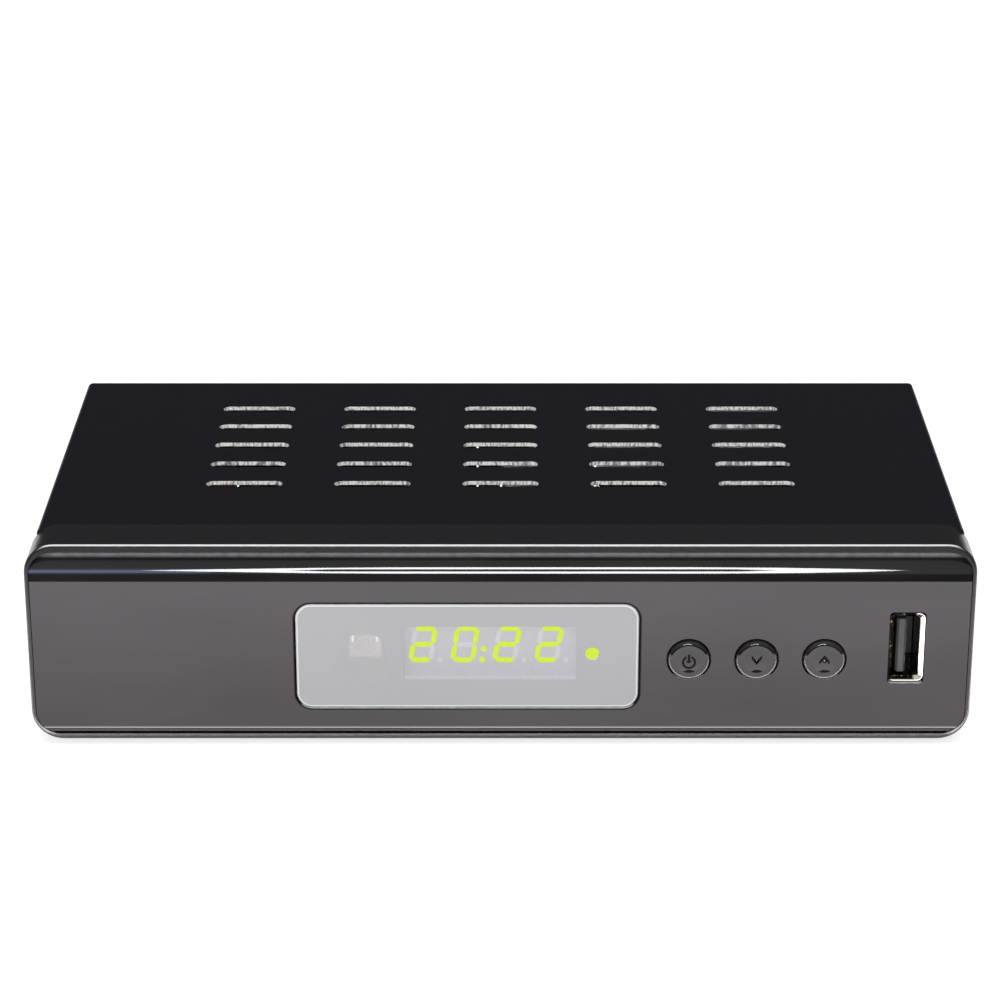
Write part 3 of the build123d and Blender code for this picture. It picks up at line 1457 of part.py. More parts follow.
audio_z = socket_z["audio"]
audio_collar_end = rear_face + audio_collar_thick
audio_tip = rear_face + audio_reach - audio_ring_wall
with BuildPart() as coax_audio_block:
    with Locations(board_spot(audio_x, rear_inner - seam - audio_block_depth / 2)):
        Box(audio_block, audio_block_depth, audio_block_height, align=standing)
    with BuildSketch(turning_plane(audio_x, audio_z)):
        with BuildLine():
            ring_bore = audio_ring_radius - audio_ring_wall
            Polyline((audio_bore_radius + audio_contact_wall, rear_inner - seam),
                     (audio_collar_radius, rear_inner - seam), (audio_collar_radius, audio_collar_end),
                     (ring_bore, audio_collar_end), (ring_bore, audio_tip),
                     (audio_bore_radius + audio_contact_wall, audio_tip), close=True)
        make_face()
    revolve(axis=axis_at(audio_x, audio_z))
coax_audio_block.part.label = "coax_audio_block"
export_step(coax_audio_block.part, "parts/coax_audio_block.step")

with BuildPart() as coax_audio_ring:
    with BuildSketch(face_plane(audio_collar_end)):
        with Locations((audio_x, audio_z)):
            Circle(audio_ring_radius)
            Circle(ring_bore, mode=Mode.SUBTRACT)
    extrude(amount=-(audio_reach - audio_collar_thick))
coax_audio_ring.part.label = "coax_audio_ring"
export_step(coax_audio_ring.part, "parts/coax_audio_ring.step")

with BuildPart() as coax_audio_contact:
    with BuildSketch(face_plane(rear_inner - seam)):
        with Locations((audio_x, audio_z)):
            Circle(audio_bore_radius + audio_contact_wall)
            Circle(audio_bore_radius, mode=Mode.SUBTRACT)
    extrude(amount=-(audio_tip - rear_inner + seam))
coax_audio_contact.part.label = "coax_audio_contact"
export_step(coax_audio_contact.part, "parts/coax_audio_contact.step")

power_back = rear_face + power_proud
power_z = socket_z["power"]
with BuildPart() as power_inlet:
    with Locations(board_spot(power_x, power_back - power_depth / 2)):
        Box(power_width, power_depth, power_height, align=standing)
    fillet(power_inlet.edges().filter_by(Axis.Y).group_by(Axis.Z)[-1], power_edge)
    with BuildSketch(face_plane(power_back)):
        with Locations((power_x, power_z)):
            Circle(power_bore_radius)
    extrude(amount=power_bore_depth, mode=Mode.SUBTRACT)
power_inlet.part.label = "power_inlet"
export_step(power_inlet.part, "parts/power_inlet.step")

with BuildPart() as power_pin:
    with BuildSketch(face_plane(power_back - power_bore_depth)):
        with Locations((power_x, power_z)):
            Circle(power_pin_radius)
    extrude(amount=-power_pin_length)
    fillet(power_pin.edges().group_by(Axis.Y)[-1], power_pin_radius / 2)
power_pin.part.label = "power_pin"
export_step(power_pin.part, "parts/power_pin.step")
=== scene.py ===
# %% [markdown]
# # A satellite television receiver
#
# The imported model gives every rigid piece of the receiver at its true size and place. This
# lesson gives those pieces their finishes, adds the small forms that a drawing leaves out, such
# as screw recesses and threads, and sets up a small studio.
#
# Lengths are in metres unless a comment says millimetres. The front faces -Y, +X is to the
# right of someone who looks at the front, and the table is at height 0.

# %% Load the receiver
import math
import bmesh
import bpy
import numpy as np
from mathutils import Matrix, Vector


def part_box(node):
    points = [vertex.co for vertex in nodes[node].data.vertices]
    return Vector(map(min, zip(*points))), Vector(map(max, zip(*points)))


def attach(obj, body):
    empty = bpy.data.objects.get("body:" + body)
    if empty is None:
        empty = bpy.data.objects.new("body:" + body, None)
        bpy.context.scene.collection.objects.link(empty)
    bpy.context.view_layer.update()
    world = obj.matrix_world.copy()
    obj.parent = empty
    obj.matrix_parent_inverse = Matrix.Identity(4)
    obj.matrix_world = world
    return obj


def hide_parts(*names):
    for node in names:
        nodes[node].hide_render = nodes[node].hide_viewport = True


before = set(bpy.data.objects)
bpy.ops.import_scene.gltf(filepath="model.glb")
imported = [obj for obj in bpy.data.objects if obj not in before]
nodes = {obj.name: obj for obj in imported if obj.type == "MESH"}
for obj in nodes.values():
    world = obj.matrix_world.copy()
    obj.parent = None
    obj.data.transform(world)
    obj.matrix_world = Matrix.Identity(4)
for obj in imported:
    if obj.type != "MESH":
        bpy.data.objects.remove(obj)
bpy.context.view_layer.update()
MM = 0.001

# %% [markdown]
# ## Places to measure from
#
# Nothing is typed twice where a piece can be measured: the places of the front, the buttons and
# the sockets come from the boxes of the solid pieces, so what is added stays seated on them.

# %% Places on the receiver


def middle(name):
    """Middle of a piece's box in millimetres: half way between its lowest and highest corner."""
    low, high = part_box(name)
    return [(a + b) / 2 / MM for a, b in zip(low, high)]


front_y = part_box("front_bezel")[0][1]
front_mm = front_y / MM
button_names = ["power", "channel_down", "channel_up"]
button_middles = {name: middle(f"{name}_button") for name in button_names}
display_middle = middle("led_display")
eye_middle = middle("ir_receiver")
lamp_middle = middle("status_lamp")
print(f"front face at y = {front_mm:.1f} mm")
for name, (x, _, z) in button_middles.items():
    print(f"{name} button at x = {x:.2f}, z = {z:.2f} mm")

# %% [markdown]
# ## The camera
#
# A long lens from half a metre keeps the sides of the case nearly parallel. The camera looks
# down on the cover, which is why the top takes up almost as much of the picture as the front.

# %% Camera
camera_right = -0.0001
camera_ahead = 0.55415          # in front of the front face
camera_height = 0.27467         # above the table
camera_tilt = 68.04             # degrees up from looking straight down
lens_length = 113.88            # millimetres, with a sensor 36 mm wide
camera_data = bpy.data.cameras.new("studio_camera")
camera_data.sensor_width = 36.0
camera_data.lens = lens_length
camera_data.clip_start = 0.01
camera = bpy.data.objects.new("studio_camera", camera_data)
camera.location = (camera_right, front_y - camera_ahead, camera_height)
camera.rotation_euler = (math.radians(camera_tilt), 0.0, 0.0)
bpy.context.scene.collection.objects.link(camera)
bpy.context.scene.camera = camera
bpy.context.scene.view_settings.view_transform = "Standard"
print(f"lens {lens_length} mm, {camera_ahead / MM:.0f} mm in front of the receiver")

# %% [markdown]
# ## Finishes as Python expressions
#
# A finish is one Principled shader and the nodes that vary it over the surface. Wiring dozens
# of Math nodes one by one is slow to write and hard to read. So a small class wraps a socket:
# adding or multiplying wrapped values adds the Math nodes, and every other kind of node comes
# from one method that takes its settings and its sockets.

# %% A number that varies over a surface


class Level:
    """A number that varies over a surface, held by a node's output socket."""

    def __init__(self, finish, socket):
        self.finish = finish
        self.socket = socket

    def math(self, operation, *others, swap=False):
        """One Math node on this value and the others, or with the order turned round."""
        values = [self, *others]
        if swap:
            values.reverse()
        sockets = dict(enumerate(values))
        return self.finish.node("ShaderNodeMath", {"operation": operation}, sockets)

    def __add__(self, other):
        return self.math("ADD", other)

    def __radd__(self, other):
        return self.math("ADD", other)

    def __sub__(self, other):
        return self.math("SUBTRACT", other)

    def __rsub__(self, other):
        return self.math("SUBTRACT", other, swap=True)

    def __mul__(self, other):
        return self.math("MULTIPLY", other)

    def __rmul__(self, other):
        return self.math("MULTIPLY", other)

    def __truediv__(self, other):
        return self.math("DIVIDE", other)

    def __abs__(self):
        return self.math("ABSOLUTE")

    def root(self):
        """The square root."""
        return self.math("SQRT")

    def least(self, other):
        """The smaller of two values."""
        return self.math("MINIMUM", other)

    def most(self, other):
        """The larger of two values, which joins two masks."""
        return self.math("MAXIMUM", other)

    def above(self, edge, soft=0.02):
        """0 below the edge and 1 above it, with a smooth rise as wide as the softness."""
        sockets = {0: self, 1: edge - soft / 2, 2: edge + soft / 2}
        return self.finish.node("ShaderNodeMapRange", {"interpolation_type": "SMOOTHSTEP"}, sockets)

    def below(self, edge, soft=0.02):
        """1 below the edge and 0 above it."""
        return 1 - self.above(edge, soft)

    def stripes(self, pitch, share, soft=0.1):
        """1 on stripes that take up that share of each pitch, 0 between them."""
        phase = abs((self / pitch).math("FRACT") - 0.5) * 2
        return phase.below(share, soft)


# %% A finish


class Finish:
    """A material with one Principled shader, and the nodes that feed it."""

    def __init__(self, name, color, roughness, metallic=0.0, **constants):
        self.material = bpy.data.materials.new(name)
        self.material.use_nodes = True
        self.tree = self.material.node_tree
        self.shader = self.tree.nodes["Principled BSDF"]
        self.set("Base Color", (*color, 1.0))
        self.set("Roughness", roughness)
        self.set("Metallic", metallic)
        for socket, value in constants.items():
            self.set(socket.replace("_", " "), value)

    def put(self, socket, value):
        """A socket takes a link from a wrapped value, and any plain value as it is."""
        if isinstance(value, Level):
            self.tree.links.new(value.socket, socket)
        else:
            socket.default_value = value

    def set(self, name, value):
        """Sets or feeds one of the shader's own sockets."""
        self.put(self.shader.inputs[name], value)

    def node(self, kind, settings, sockets, output=0):
        """Adds a node: first its settings, then its sockets. Returns one output, wrapped."""
        made = self.tree.nodes.new(kind)
        for name, value in settings.items():
            setattr(made, name, value)
        for name, value in sockets.items():
            self.put(made.inputs[name], value)
        return Level(self, made.outputs[output])

    def parts(self, output):
        """The three parts of one output of Texture Coordinate."""
        vector = self.node("ShaderNodeTexCoord", {}, {}, output)
        split = self.node("ShaderNodeSeparateXYZ", {}, {0: vector}).socket.node
        return [Level(self, socket) for socket in split.outputs]

    def place(self):
        """The point on the surface, as x, y and z in millimetres."""
        return [part * (1 / MM) for part in self.parts("Object")]

    def facing(self):
        """The direction that the surface faces, as the x, y and z of a vector one long."""
        return self.parts("Normal")

    def point(self, stretch):
        """The point on the surface as a vector, stretched along the axes."""
        where = self.node("ShaderNodeTexCoord", {}, {}, "Object")
        return self.node("ShaderNodeMapping", {}, {"Vector": where, "Scale": stretch})

    def noise(self, size, detail=2.0, stretch=(1.0, 1.0, 1.0)):
        """Cloudy noise from 0 to 1 with lumps of that size in millimetres."""
        sockets = {"Vector": self.point(stretch), "Scale": 1 / MM / size, "Detail": detail}
        return self.node("ShaderNodeTexNoise", {}, sockets)

    def cells(self, size, output="Distance"):
        """Irregular cells of that size in millimetres: distance to a cell's point, or its colour."""
        sockets = {"Vector": self.point((1.0, 1.0, 1.0)), "Scale": 1 / MM / size}
        return self.node("ShaderNodeTexVoronoi", {}, sockets, output)

    def patches(self, size):
        """A random grey from 0 to 1 for each cell of that size in millimetres."""
        return self.node("ShaderNodeRGBToBW", {}, {0: self.cells(size, "Color")})

    def specks(self, size, spacing, share):
        """1 on round specks, about one to each spacing in millimetres and in that share of them."""
        near = self.cells(spacing).below(size / spacing, 0.5 * size / spacing)
        return near * self.patches(spacing).below(share)

    def mix(self, factor, first, second):
        """A colour between two colours, each a wrapped colour or red, green and blue."""
        colors = [value if isinstance(value, Level) else (*value, 1.0) for value in (first, second)]
        sockets = {0: factor, 6: colors[0], 7: colors[1]}
        return self.node("ShaderNodeMix", {"data_type": "RGBA"}, sockets, 2)

    def bump(self, height, distance, strength=1.0):
        """Small relief: the height, times that distance in millimetres, tilts the surface."""
        sockets = {"Strength": strength, "Distance": distance * MM, "Height": height}
        self.set("Normal", self.node("ShaderNodeBump", {}, sockets))


def paint(finish, *names):
    """Gives whole solid pieces a finish."""
    for name in names:
        mesh = nodes[name].data
        if len(mesh.materials) == 0:
            mesh.materials.append(finish.material)
        for index in range(len(mesh.materials)):
            mesh.materials[index] = finish.material
    print(f"{finish.material.name}: {len(finish.tree.nodes)} nodes, on {', '.join(names)}")


# %% [markdown]
# ## The moulded front
#
# The front is two mouldings of the same black plastic. The outer frame has the fine satin grain
# of an etched mould. The fascia that lies in it is polished, so its rolled upper edge shows the
# softboxes as one bright band. Roughness and a very fine relief tell them apart, and a little
# dust and some faint clouds keep the gloss from looking computed.
#
# Two painted highlights are drawn as masks by the way a surface faces, because the bends are
# too narrow for shapes of their own: a pale line on the frame's upper edge, and a paler top and
# foot of the roll, in place of what they would reflect. Round the display window the polish
# stops just short of the opening, and that dull line gives the window a clear outline.

# %% Satin black
satin_color = (0.0095, 0.009, 0.0104)
edge_depth = 0.6                # of the frame's upper edge, in millimetres behind the front
satin_black = Finish("satin_black_plastic", satin_color, 0.25)
grain = satin_black.noise(0.12)
satin_black.set("Roughness", 0.19 + 0.06 * grain + 0.05 * satin_black.noise(3.0))
y = satin_black.place()[1]
facing_x, _, facing_z = satin_black.facing()
# Painted highlight: a pale line along the frame's upper edge, fading out round the corners.
painted_edge_highlight = facing_z.above(0.55, 0.3) * facing_z.below(0.94, 0.06) * y.below(front_mm + edge_depth)
painted_edge_highlight = painted_edge_highlight * abs(facing_x).below(0.3, 0.3) * (0.75 + 0.25 * satin_black.noise(2.0))
satin_tone = satin_black.mix(painted_edge_highlight, satin_color, (0.75, 0.75, 0.78))
satin_black.bump(grain, 0.012, 0.5)
paint(satin_black, "front_bezel")

# %% Gloss black


def gloss(name):
    """Polished black plastic: faint clouds in its colour, and specks of dust that dull it.

    The polish is a coat over a dull base, so that a mask on the coat's weight can take it off.
    """
    finish = Finish(name, (0.012, 0.011, 0.012), 0.5, Specular_IOR_Level=0.0, Coat_Weight=1.0,
                    Coat_Roughness=0.03)
    clouds = finish.noise(16.0, 3.0, stretch=(0.5, 1.0, 1.6))
    dust = finish.specks(0.07, 5.0, 0.3)
    black = finish.mix(clouds, (0.0, 0.0, 0.0), (0.03, 0.027, 0.029))
    black = finish.mix(dust * 0.5, black, (0.2, 0.2, 0.2))
    finish.set("Roughness", 0.5 + 0.3 * clouds)
    return finish, black


def outline_distance(finish, name, corner):
    """Distance in millimetres outside a piece's outline seen from the front, minus inside it.

    The outline is a rectangle with corners of that radius. Moving it in by the radius leaves a
    rectangle whose distance is plain, and the radius is then taken off again.
    """
    x, _, z = finish.place()
    low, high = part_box(name)
    middle_x, _, middle_z = middle(name)
    beside = abs(x - middle_x) - ((high[0] - low[0]) / 2 / MM - corner)
    above = abs(z - middle_z) - ((high[2] - low[2]) / 2 / MM - corner)
    outside = beside.most(0.0) * beside.most(0.0) + above.most(0.0) * above.most(0.0)
    return outside.root() + beside.most(above).least(0.0) - corner


# %% Polished fascia
window_corner = 3.0             # radius of the window's corners, in millimetres
fascia_black, black = gloss("gloss_black_plastic")
facing_z = fascia_black.facing()[2]
# Painted highlight: the top and the foot of the roll are painted pale grey in streaks, in place of
# what they would reflect.
painted_roll_highlight = facing_z.above(0.76, 0.14).most(facing_z.below(-0.4, 0.4) * 0.3)
painted_roll_highlight = painted_roll_highlight * (0.4 + 0.6 * fascia_black.noise(1.5, 3.0))
fascia_tone = fascia_black.mix(painted_roll_highlight, black, (0.85, 0.85, 0.88))
dull_line = outline_distance(fascia_black, "display_window", window_corner).below(0.5, 0.3)
fascia_black.set("Coat Weight", 1 - dull_line)
paint(fascia_black, "front_fascia")

# %% [markdown]
# Between the window and the display both mouldings have an opening. Its walls are painted
# pale grey with a weak emission of their own: painted light, since hardly any light gets in
# there, so that someone who looks in from the side sees a frame round the digits and no black
# hole.

# %% Lining behind the window
window_front, window_back = [corner[1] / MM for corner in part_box("display_window")]
display_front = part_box("lit_segments")[0][1] / MM
eye_radius = 5.4                # of the round field over the receiver eye, in millimetres


def painted_light_lining(finish, tone):
    """A colour that turns pale grey, and glows as painted light, between the window and the display.

    The place is inside the window's outline, to the right of the eye, and between two depths.
    """
    x, y = finish.place()[:2]
    painted_glow_mask = outline_distance(finish, "display_window", window_corner).below(-0.2, 0.2)
    painted_glow_mask = painted_glow_mask * x.above(eye_middle[0] + eye_radius + 0.2, 0.2)
    painted_glow_mask = painted_glow_mask * y.above(window_back - 0.15, 0.1) * y.below(display_front - 0.35, 0.1)
    finish.set("Base Color", finish.mix(painted_glow_mask, tone, (0.42, 0.42, 0.44)))
    finish.set("Emission Color", finish.mix(painted_glow_mask, (0.0, 0.0, 0.0), (0.33, 0.33, 0.35)))
    finish.set("Emission Strength", 1.0)


painted_light_lining(fascia_black, fascia_tone)
painted_light_lining(satin_black, satin_tone)
print(f"lined from y = {window_back:.1f} to {display_front:.1f} mm")

# %% [markdown]
# ## Signs on the buttons
#
# Each cap has a sign cut into its dish: an open ring with a bar for power, and arrow heads for
# channel down and up. They are about 2 mm wide, too small to be worth a mesh, so each one is a
# mask. A mask is a distance from a line, cut off at half the line's width. The gloss of a cap is
# a coat over dull black, and the coat is missing where the mask is 1, so a sign looks dark.

# %% Button caps
button_black, black = gloss("gloss_black_button")
x, _, z = button_black.place()
# All in millimetres, for signs cut into the dish of a cap.
line = 0.22                     # half the width of a line
edge = 0.12                     # how soft its sides are
ring_radius = 1.15
ring_gap = 0.45                 # half the gap at the top of the ring
bar_middle, bar_half = 1.0, 0.7
arm_reach = 1.0


def across_and_up(name, rise):
    """Distances to the right of a button's middle and above a sign's middle."""
    middle_x, _, middle_z = button_middles[name]
    return x - middle_x, z - (middle_z + rise)


across, up = across_and_up("power", -0.35)
radius = (across * across + up * up).root()
gap = abs(across).below(ring_gap, edge) * up.above(0.0, edge)
ring = abs(radius - ring_radius).below(line, edge) * (1 - gap)
bar = abs(across).below(line, edge) * abs(up - bar_middle).below(bar_half, edge)
sign = ring.most(bar)
for name, rise, slope in (("channel_down", -0.5, 1.25), ("channel_up", 0.75, -1.2)):
    across, up = across_and_up(name, rise)
    # The arms slant, so straight up and down they are wider than the line.
    arms = abs(up - abs(across) * slope).below(line * 1.8, edge)
    sign = sign.most(arms * abs(across).below(arm_reach, edge))
button_black.set("Base Color", button_black.mix(sign, black, (0.001, 0.001, 0.001)))
button_black.set("Coat Weight", 1 - 0.85 * sign)
paint(button_black, *[f"{name}_button" for name in button_names])

# %% [markdown]
# ## The display window
#
# The window is clear plastic, printed with grey ink. The ink leaves a clear field for the
# digits and a small round one for the lamp, and is thin over the receiver eye. Alpha is the
# ink's cover: 1 where it is printed, and almost 0 in the clear fields and on the back. The
# bevelled edge is opaque and painted near white, a painted highlight that makes a fine pale
# line, and the depth behind the front face tells the three apart. Someone who uses the
# receiver looks down on it, so each clear field lies a little higher than what shows in it.

# %% Printed window
window = Finish("printed_window", (0.4, 0.4, 0.42), 0.1, Specular_IOR_Level=0.3)
x, y, z = window.place()
display_low, display_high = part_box("led_display")
# Half the width and height of the clear field, how far it lies below the display's middle, and
# the radius of the lamp's field, in millimetres.
field_across = (display_high[0] - display_low[0]) / 2 / MM - 0.25
field_half = 5.6
field_drop = 0.5
lamp_radius = 1.35
look_down = math.tan(math.radians(90 - camera_tilt))


def seen_height(name):
    """Height on the window, in millimetres, at which the front of a piece behind it is seen."""
    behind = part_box(name)[0][1] / MM - window_front
    return lamp_middle[2] + look_down * behind


def disc(middle_x, middle_z, radius, soft):
    """1 inside a circle, seen from the front."""
    across = x - middle_x
    up = z - middle_z
    return (across * across + up * up).root().below(radius, soft)


field = abs(x - display_middle[0]).below(field_across, 0.15)
field = field * abs(z - seen_height("led_display") + field_drop).below(field_half, 0.15)
eye_disc = disc(eye_middle[0], lamp_middle[2], eye_radius, 0.25)
lamp_disc = disc(lamp_middle[0], seen_height("status_lamp") + 0.25, lamp_radius, 0.1)
ink = (1 - field.most(lamp_disc)) * (1 - 0.3 * eye_disc)
front_face = y.below(window_front + 0.03)
rim = (1 - front_face) * y.below(window_back - 0.04)
rim = rim.most(outline_distance(window, "display_window", window_corner).above(-0.4, 0.15))
window.set("Alpha", (front_face * (0.04 + 0.96 * ink)).most(rim))
ink_grey = window.mix(window.noise(30.0), (0.425, 0.425, 0.44), (0.455, 0.455, 0.47))
# Painted light: over the eye the ink is painted paler, making up for the dark seen through it.
ink_grey = window.mix(eye_disc, ink_grey, (0.64, 0.63, 0.645))
# Painted highlight: the bevelled rim is painted near white.
window.set("Base Color", window.mix(rim, ink_grey, (0.9, 0.9, 0.92)))
window.set("Roughness", 0.08 + 0.04 * window.noise(0.3))
paint(window, "display_window")

# %% [markdown]
# ## What looks out of the window
#
# The digits are a block with a pale grey face. The lit segments and the lamp give off their own
# light, so their colour is emission, which stays the same whatever the lamps in the studio do.
# Little of the studio's light comes through the window, so the block, the unlit segments and the
# smoky plastic of the eye have a weak grey emission too.

# %% Display, lamp and eye
display_grey = Finish("display_body", (0.18, 0.18, 0.19), 0.5, Specular_IOR_Level=0.2,
                      Emission_Strength=1.0)
z = display_grey.place()[2]
bevel = abs(z - lamp_middle[2]).above(field_half, 0.2)
mottle = display_grey.noise(1.2)
display_grey.set("Base Color", display_grey.mix(mottle, (0.16, 0.16, 0.17), (0.2, 0.2, 0.21)))
face_glow = display_grey.mix(mottle, (0.365, 0.365, 0.39), (0.395, 0.395, 0.42))
display_grey.set("Emission Color", display_grey.mix(bevel, face_glow, (0.46, 0.46, 0.48)))
paint(display_grey, "led_display")

lit_green = Finish("lit_green", (0.02, 0.03, 0.0), 0.5, Emission_Strength=1.0,
                   Specular_IOR_Level=0.1)
glow = lit_green.noise(0.9)
lit_green.set("Emission Color", lit_green.mix(glow, (0.56, 0.80, 0.02), (0.72, 0.90, 0.06)))
paint(lit_green, "lit_segments", "status_lamp")

unlit = Finish("unlit_segment", (0.25, 0.25, 0.26), 0.5, Specular_IOR_Level=0.2,
               Emission_Strength=1.0)
unlit.set("Emission Color", unlit.mix(unlit.noise(1.0), (0.38, 0.38, 0.40), (0.43, 0.43, 0.44)))
paint(unlit, "dark_segments")

eye_smoke = Finish("receiver_eye", (0.42, 0.4, 0.43), 0.12, Emission_Strength=1.0)
x, _, z = eye_smoke.place()
across, up = x - eye_middle[0], z - eye_middle[2]
rings = (across * across + up * up).root().stripes(0.9, 0.4, 0.3) * eye_smoke.noise(0.7, 3.0)
# Two upright glints, painted highlights as white emission, one at each side of the eye's lens.
painted_glint = abs(abs(across) - 2.4).below(0.22, 0.15) * abs(up - 0.6).below(0.9, 0.5)
smoke = eye_smoke.mix(rings, (0.14, 0.12, 0.125), (0.5, 0.42, 0.44))
eye_smoke.set("Base Color", eye_smoke.mix(rings, (0.4, 0.38, 0.4), (0.6, 0.56, 0.58)))
eye_smoke.set("Emission Color", eye_smoke.mix(painted_glint, smoke, (1.0, 1.0, 1.0)))
paint(eye_smoke, "ir_receiver")

# %% [markdown]
# ## The cover
#
# The cover is sheet steel with a black satin coat. Its slots were punched after it was coated,
# so their walls are bare torn steel. In ragged streaks that steel is painted a pale diffuse grey,
# a painted reflection of the light that the bare metal would mirror. The mask for it needs no
# list of slots: the walls are the only places well inside the top of the cover that face
# sideways.

# %% Coated steel
coat_color = (0.004, 0.0034, 0.0066)
cover_black = Finish("black_coated_steel", coat_color, 0.36, Specular_IOR_Level=0.4)
x, y = cover_black.place()[:2]
facing_z = cover_black.facing()[2]
cover_low, cover_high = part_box("top_cover")
cover_half = cover_high[0] / MM
cover_mid_y = (cover_low[1] + cover_high[1]) / 2 / MM
side_margin = 8.0               # from the cover's sides to the slotted area, in millimetres
slots_half = 34.0               # half the depth of that area
walls = abs(facing_z).below(0.5) * abs(x).below(cover_half - side_margin)
walls = walls * abs(y - cover_mid_y).below(slots_half)
torn = cover_black.noise(0.55, 3.0, stretch=(1.0, 1.0, 0.35))
torn = (torn + 0.35 * cover_black.noise(4.0)).above(0.62, 0.3)
# Painted reflection: the bare walls are painted pale diffuse grey, not mirrored metal.
bare_steel_painted_sheen = cover_black.mix(torn, (0.16, 0.16, 0.17), (0.95, 0.95, 0.93))
grain = cover_black.noise(0.16)
dusty = cover_black.noise(24.0).above(0.52, 0.2)
dust = cover_black.specks(0.12, 2.2, 0.35) * dusty
coat = cover_black.mix(dust * 0.6, coat_color, (0.12, 0.12, 0.12))
cover_black.set("Base Color", cover_black.mix(walls, coat, bare_steel_painted_sheen))
cover_black.set("Roughness", 0.33 + 0.07 * grain + 0.3 * dust + 0.15 * walls)
cover_black.bump(grain * (1 - walls) + torn * walls * 3, 0.012, 0.5)
paint(cover_black, "top_cover")

# %% [markdown]
# ## Plated steel and turned metal
#
# Zinc plating dries in crystals a few millimetres wide, and each reflects a little
# differently. Cells of random grey on the roughness give that look. Stamped and turned pieces
# are brighter and carry fine lines from the tool.

# %% Zinc and tin plate


def plated(name, dark, light, roughness, crystal):
    """Plated sheet: cells of random grey vary the tone and the gloss, over fine rolling lines."""
    finish = Finish(name, light, roughness, metallic=1.0)
    patch = finish.patches(crystal)
    rolled = finish.noise(0.5, 2.0, stretch=(0.04, 1.0, 1.0))
    finish.set("Base Color", finish.mix(patch, dark, light))
    finish.set("Roughness", roughness - 0.06 + 0.12 * patch + 0.06 * rolled)
    finish.bump(rolled, 0.004, 0.4)
    return finish


paint(plated("zinc_steel", (0.5, 0.51, 0.53), (0.6, 0.61, 0.63), 0.33, 3.0),
      "chassis_pan", "rear_panel")
paint(plated("tin_plate", (0.6, 0.6, 0.6), (0.68, 0.68, 0.67), 0.24, 5.0), "tuner_can", "tuner_lid")

# %% Nickel, gold and aluminium


def lined(name, dark, light, roughness, stretch):
    """Bare or plated metal with fine lines from the tool, drawn out along an axis."""
    finish = Finish(name, light, roughness, metallic=1.0)
    lines = finish.noise(0.25, 3.0, stretch=stretch)
    finish.set("Base Color", finish.mix(lines, dark, light))
    finish.set("Roughness", roughness - 0.05 + 0.1 * lines)
    return finish


nickel = lined("nickel", (0.5, 0.48, 0.45), (0.68, 0.66, 0.62), 0.17, (0.1, 1.0, 1.0))
paint(nickel, "aerial_washers", "aerial_nuts", "hdmi_shell", "ethernet_shell", "coax_audio_ring",
      "power_pin", "crystal")
gold = lined("gold_contact", (0.62, 0.4, 0.14), (0.9, 0.66, 0.3), 0.22, (1.0, 0.1, 1.0))
paint(gold, "front_usb_contacts", "ethernet_contacts", "aerial_contacts", "coax_audio_contact")
aluminium = lined("aluminium", (0.55, 0.56, 0.58), (0.75, 0.76, 0.78), 0.36, (1.0, 0.05, 1.0))
paint(aluminium, "heatsink")

# %% [markdown]
# ## The front USB shell
#
# The shell is a folded steel tube with windows stamped in its walls, where springs press on the
# plug. The windows are painted near black, painted shade for holes that are not cut, and the
# springs in them are left out of that paint, so a mask along the depth and the height draws
# both. The plating inside is painted dark, painted shade of a deep narrow socket that little
# light enters, with a few pale gold-brown flecks, and it is painted bright on the lip to the
# right and below, a painted highlight.

# %% Stamped USB shell
usb_steel = Finish("usb_steel", (0.6, 0.58, 0.54), 0.2, metallic=1.0)
x, y, z = usb_steel.place()
usb_low, usb_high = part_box("front_usb_shell")
depth = y - usb_low[1] / MM
spring_height = 3.1             # of each spring above or below the tongue's middle
spring_half = 0.85              # half a spring's width, in millimetres
opening_half = 1.35             # half the width of the window round it
from_spring = abs(abs(z - middle("front_usb_tongue")[2]) - spring_height)
opening = abs(depth - 4.6).below(2.4, 0.15) * from_spring.below(opening_half, 0.15)
spring = abs(depth - 4.0).below(2.4, 0.15) * from_spring.below(spring_half, 0.15)
# Painted shade: the windows round the springs are painted near black, not cut.
stamped = opening * (1 - spring)
usb_middle_x = (usb_low[0] + usb_high[0]) / 2 / MM
usb_bottom = usb_low[2] / MM
lip = depth.below(1.2, 0.4)
# Painted highlight: the lip is painted near white to the right and below.
bright = (x - usb_middle_x).above(1.7, 0.4).most(z.below(usb_bottom + 1.0, 0.3)) * lip
gold_flecks = usb_steel.noise(0.5, 3.0, stretch=(1.0, 0.4, 1.0)).above(0.62, 0.1)
# Painted shade: inside, the plating is painted almost black, with pale gold-brown flecks.
painted_shade_plate = usb_steel.mix(gold_flecks, (0.008, 0.0075, 0.007), (0.4, 0.3, 0.1))
plate = usb_steel.mix(bright, painted_shade_plate, (0.98, 0.93, 0.8))
usb_steel.set("Base Color", usb_steel.mix(stamped, plate, (0.005, 0.005, 0.005)))
usb_steel.set("Metallic", 1 - stamped)
usb_steel.set("Roughness", 0.15 + 0.08 * usb_steel.noise(0.4) + 0.5 * stamped)
paint(usb_steel, "front_usb_shell")

# %% [markdown]
# ## Plain mouldings
#
# The mouldings inside and at the rear share one recipe: a colour that drifts slightly, as
# moulded plastic does where it cooled unevenly, over a fine etched grain.

# %% Plastics and rubber


def moulded(name, dark, light, roughness, grain_size=0.15, depth=0.01):
    """Moulded plastic or rubber: broad clouds vary the tone, and fine grain gives the relief."""
    finish = Finish(name, light, roughness, Specular_IOR_Level=0.4)
    grain = finish.noise(grain_size)
    finish.set("Base Color", finish.mix(finish.noise(5.0), dark, light))
    finish.set("Roughness", roughness - 0.05 + 0.1 * grain)
    finish.bump(grain, depth, 0.5)
    return finish


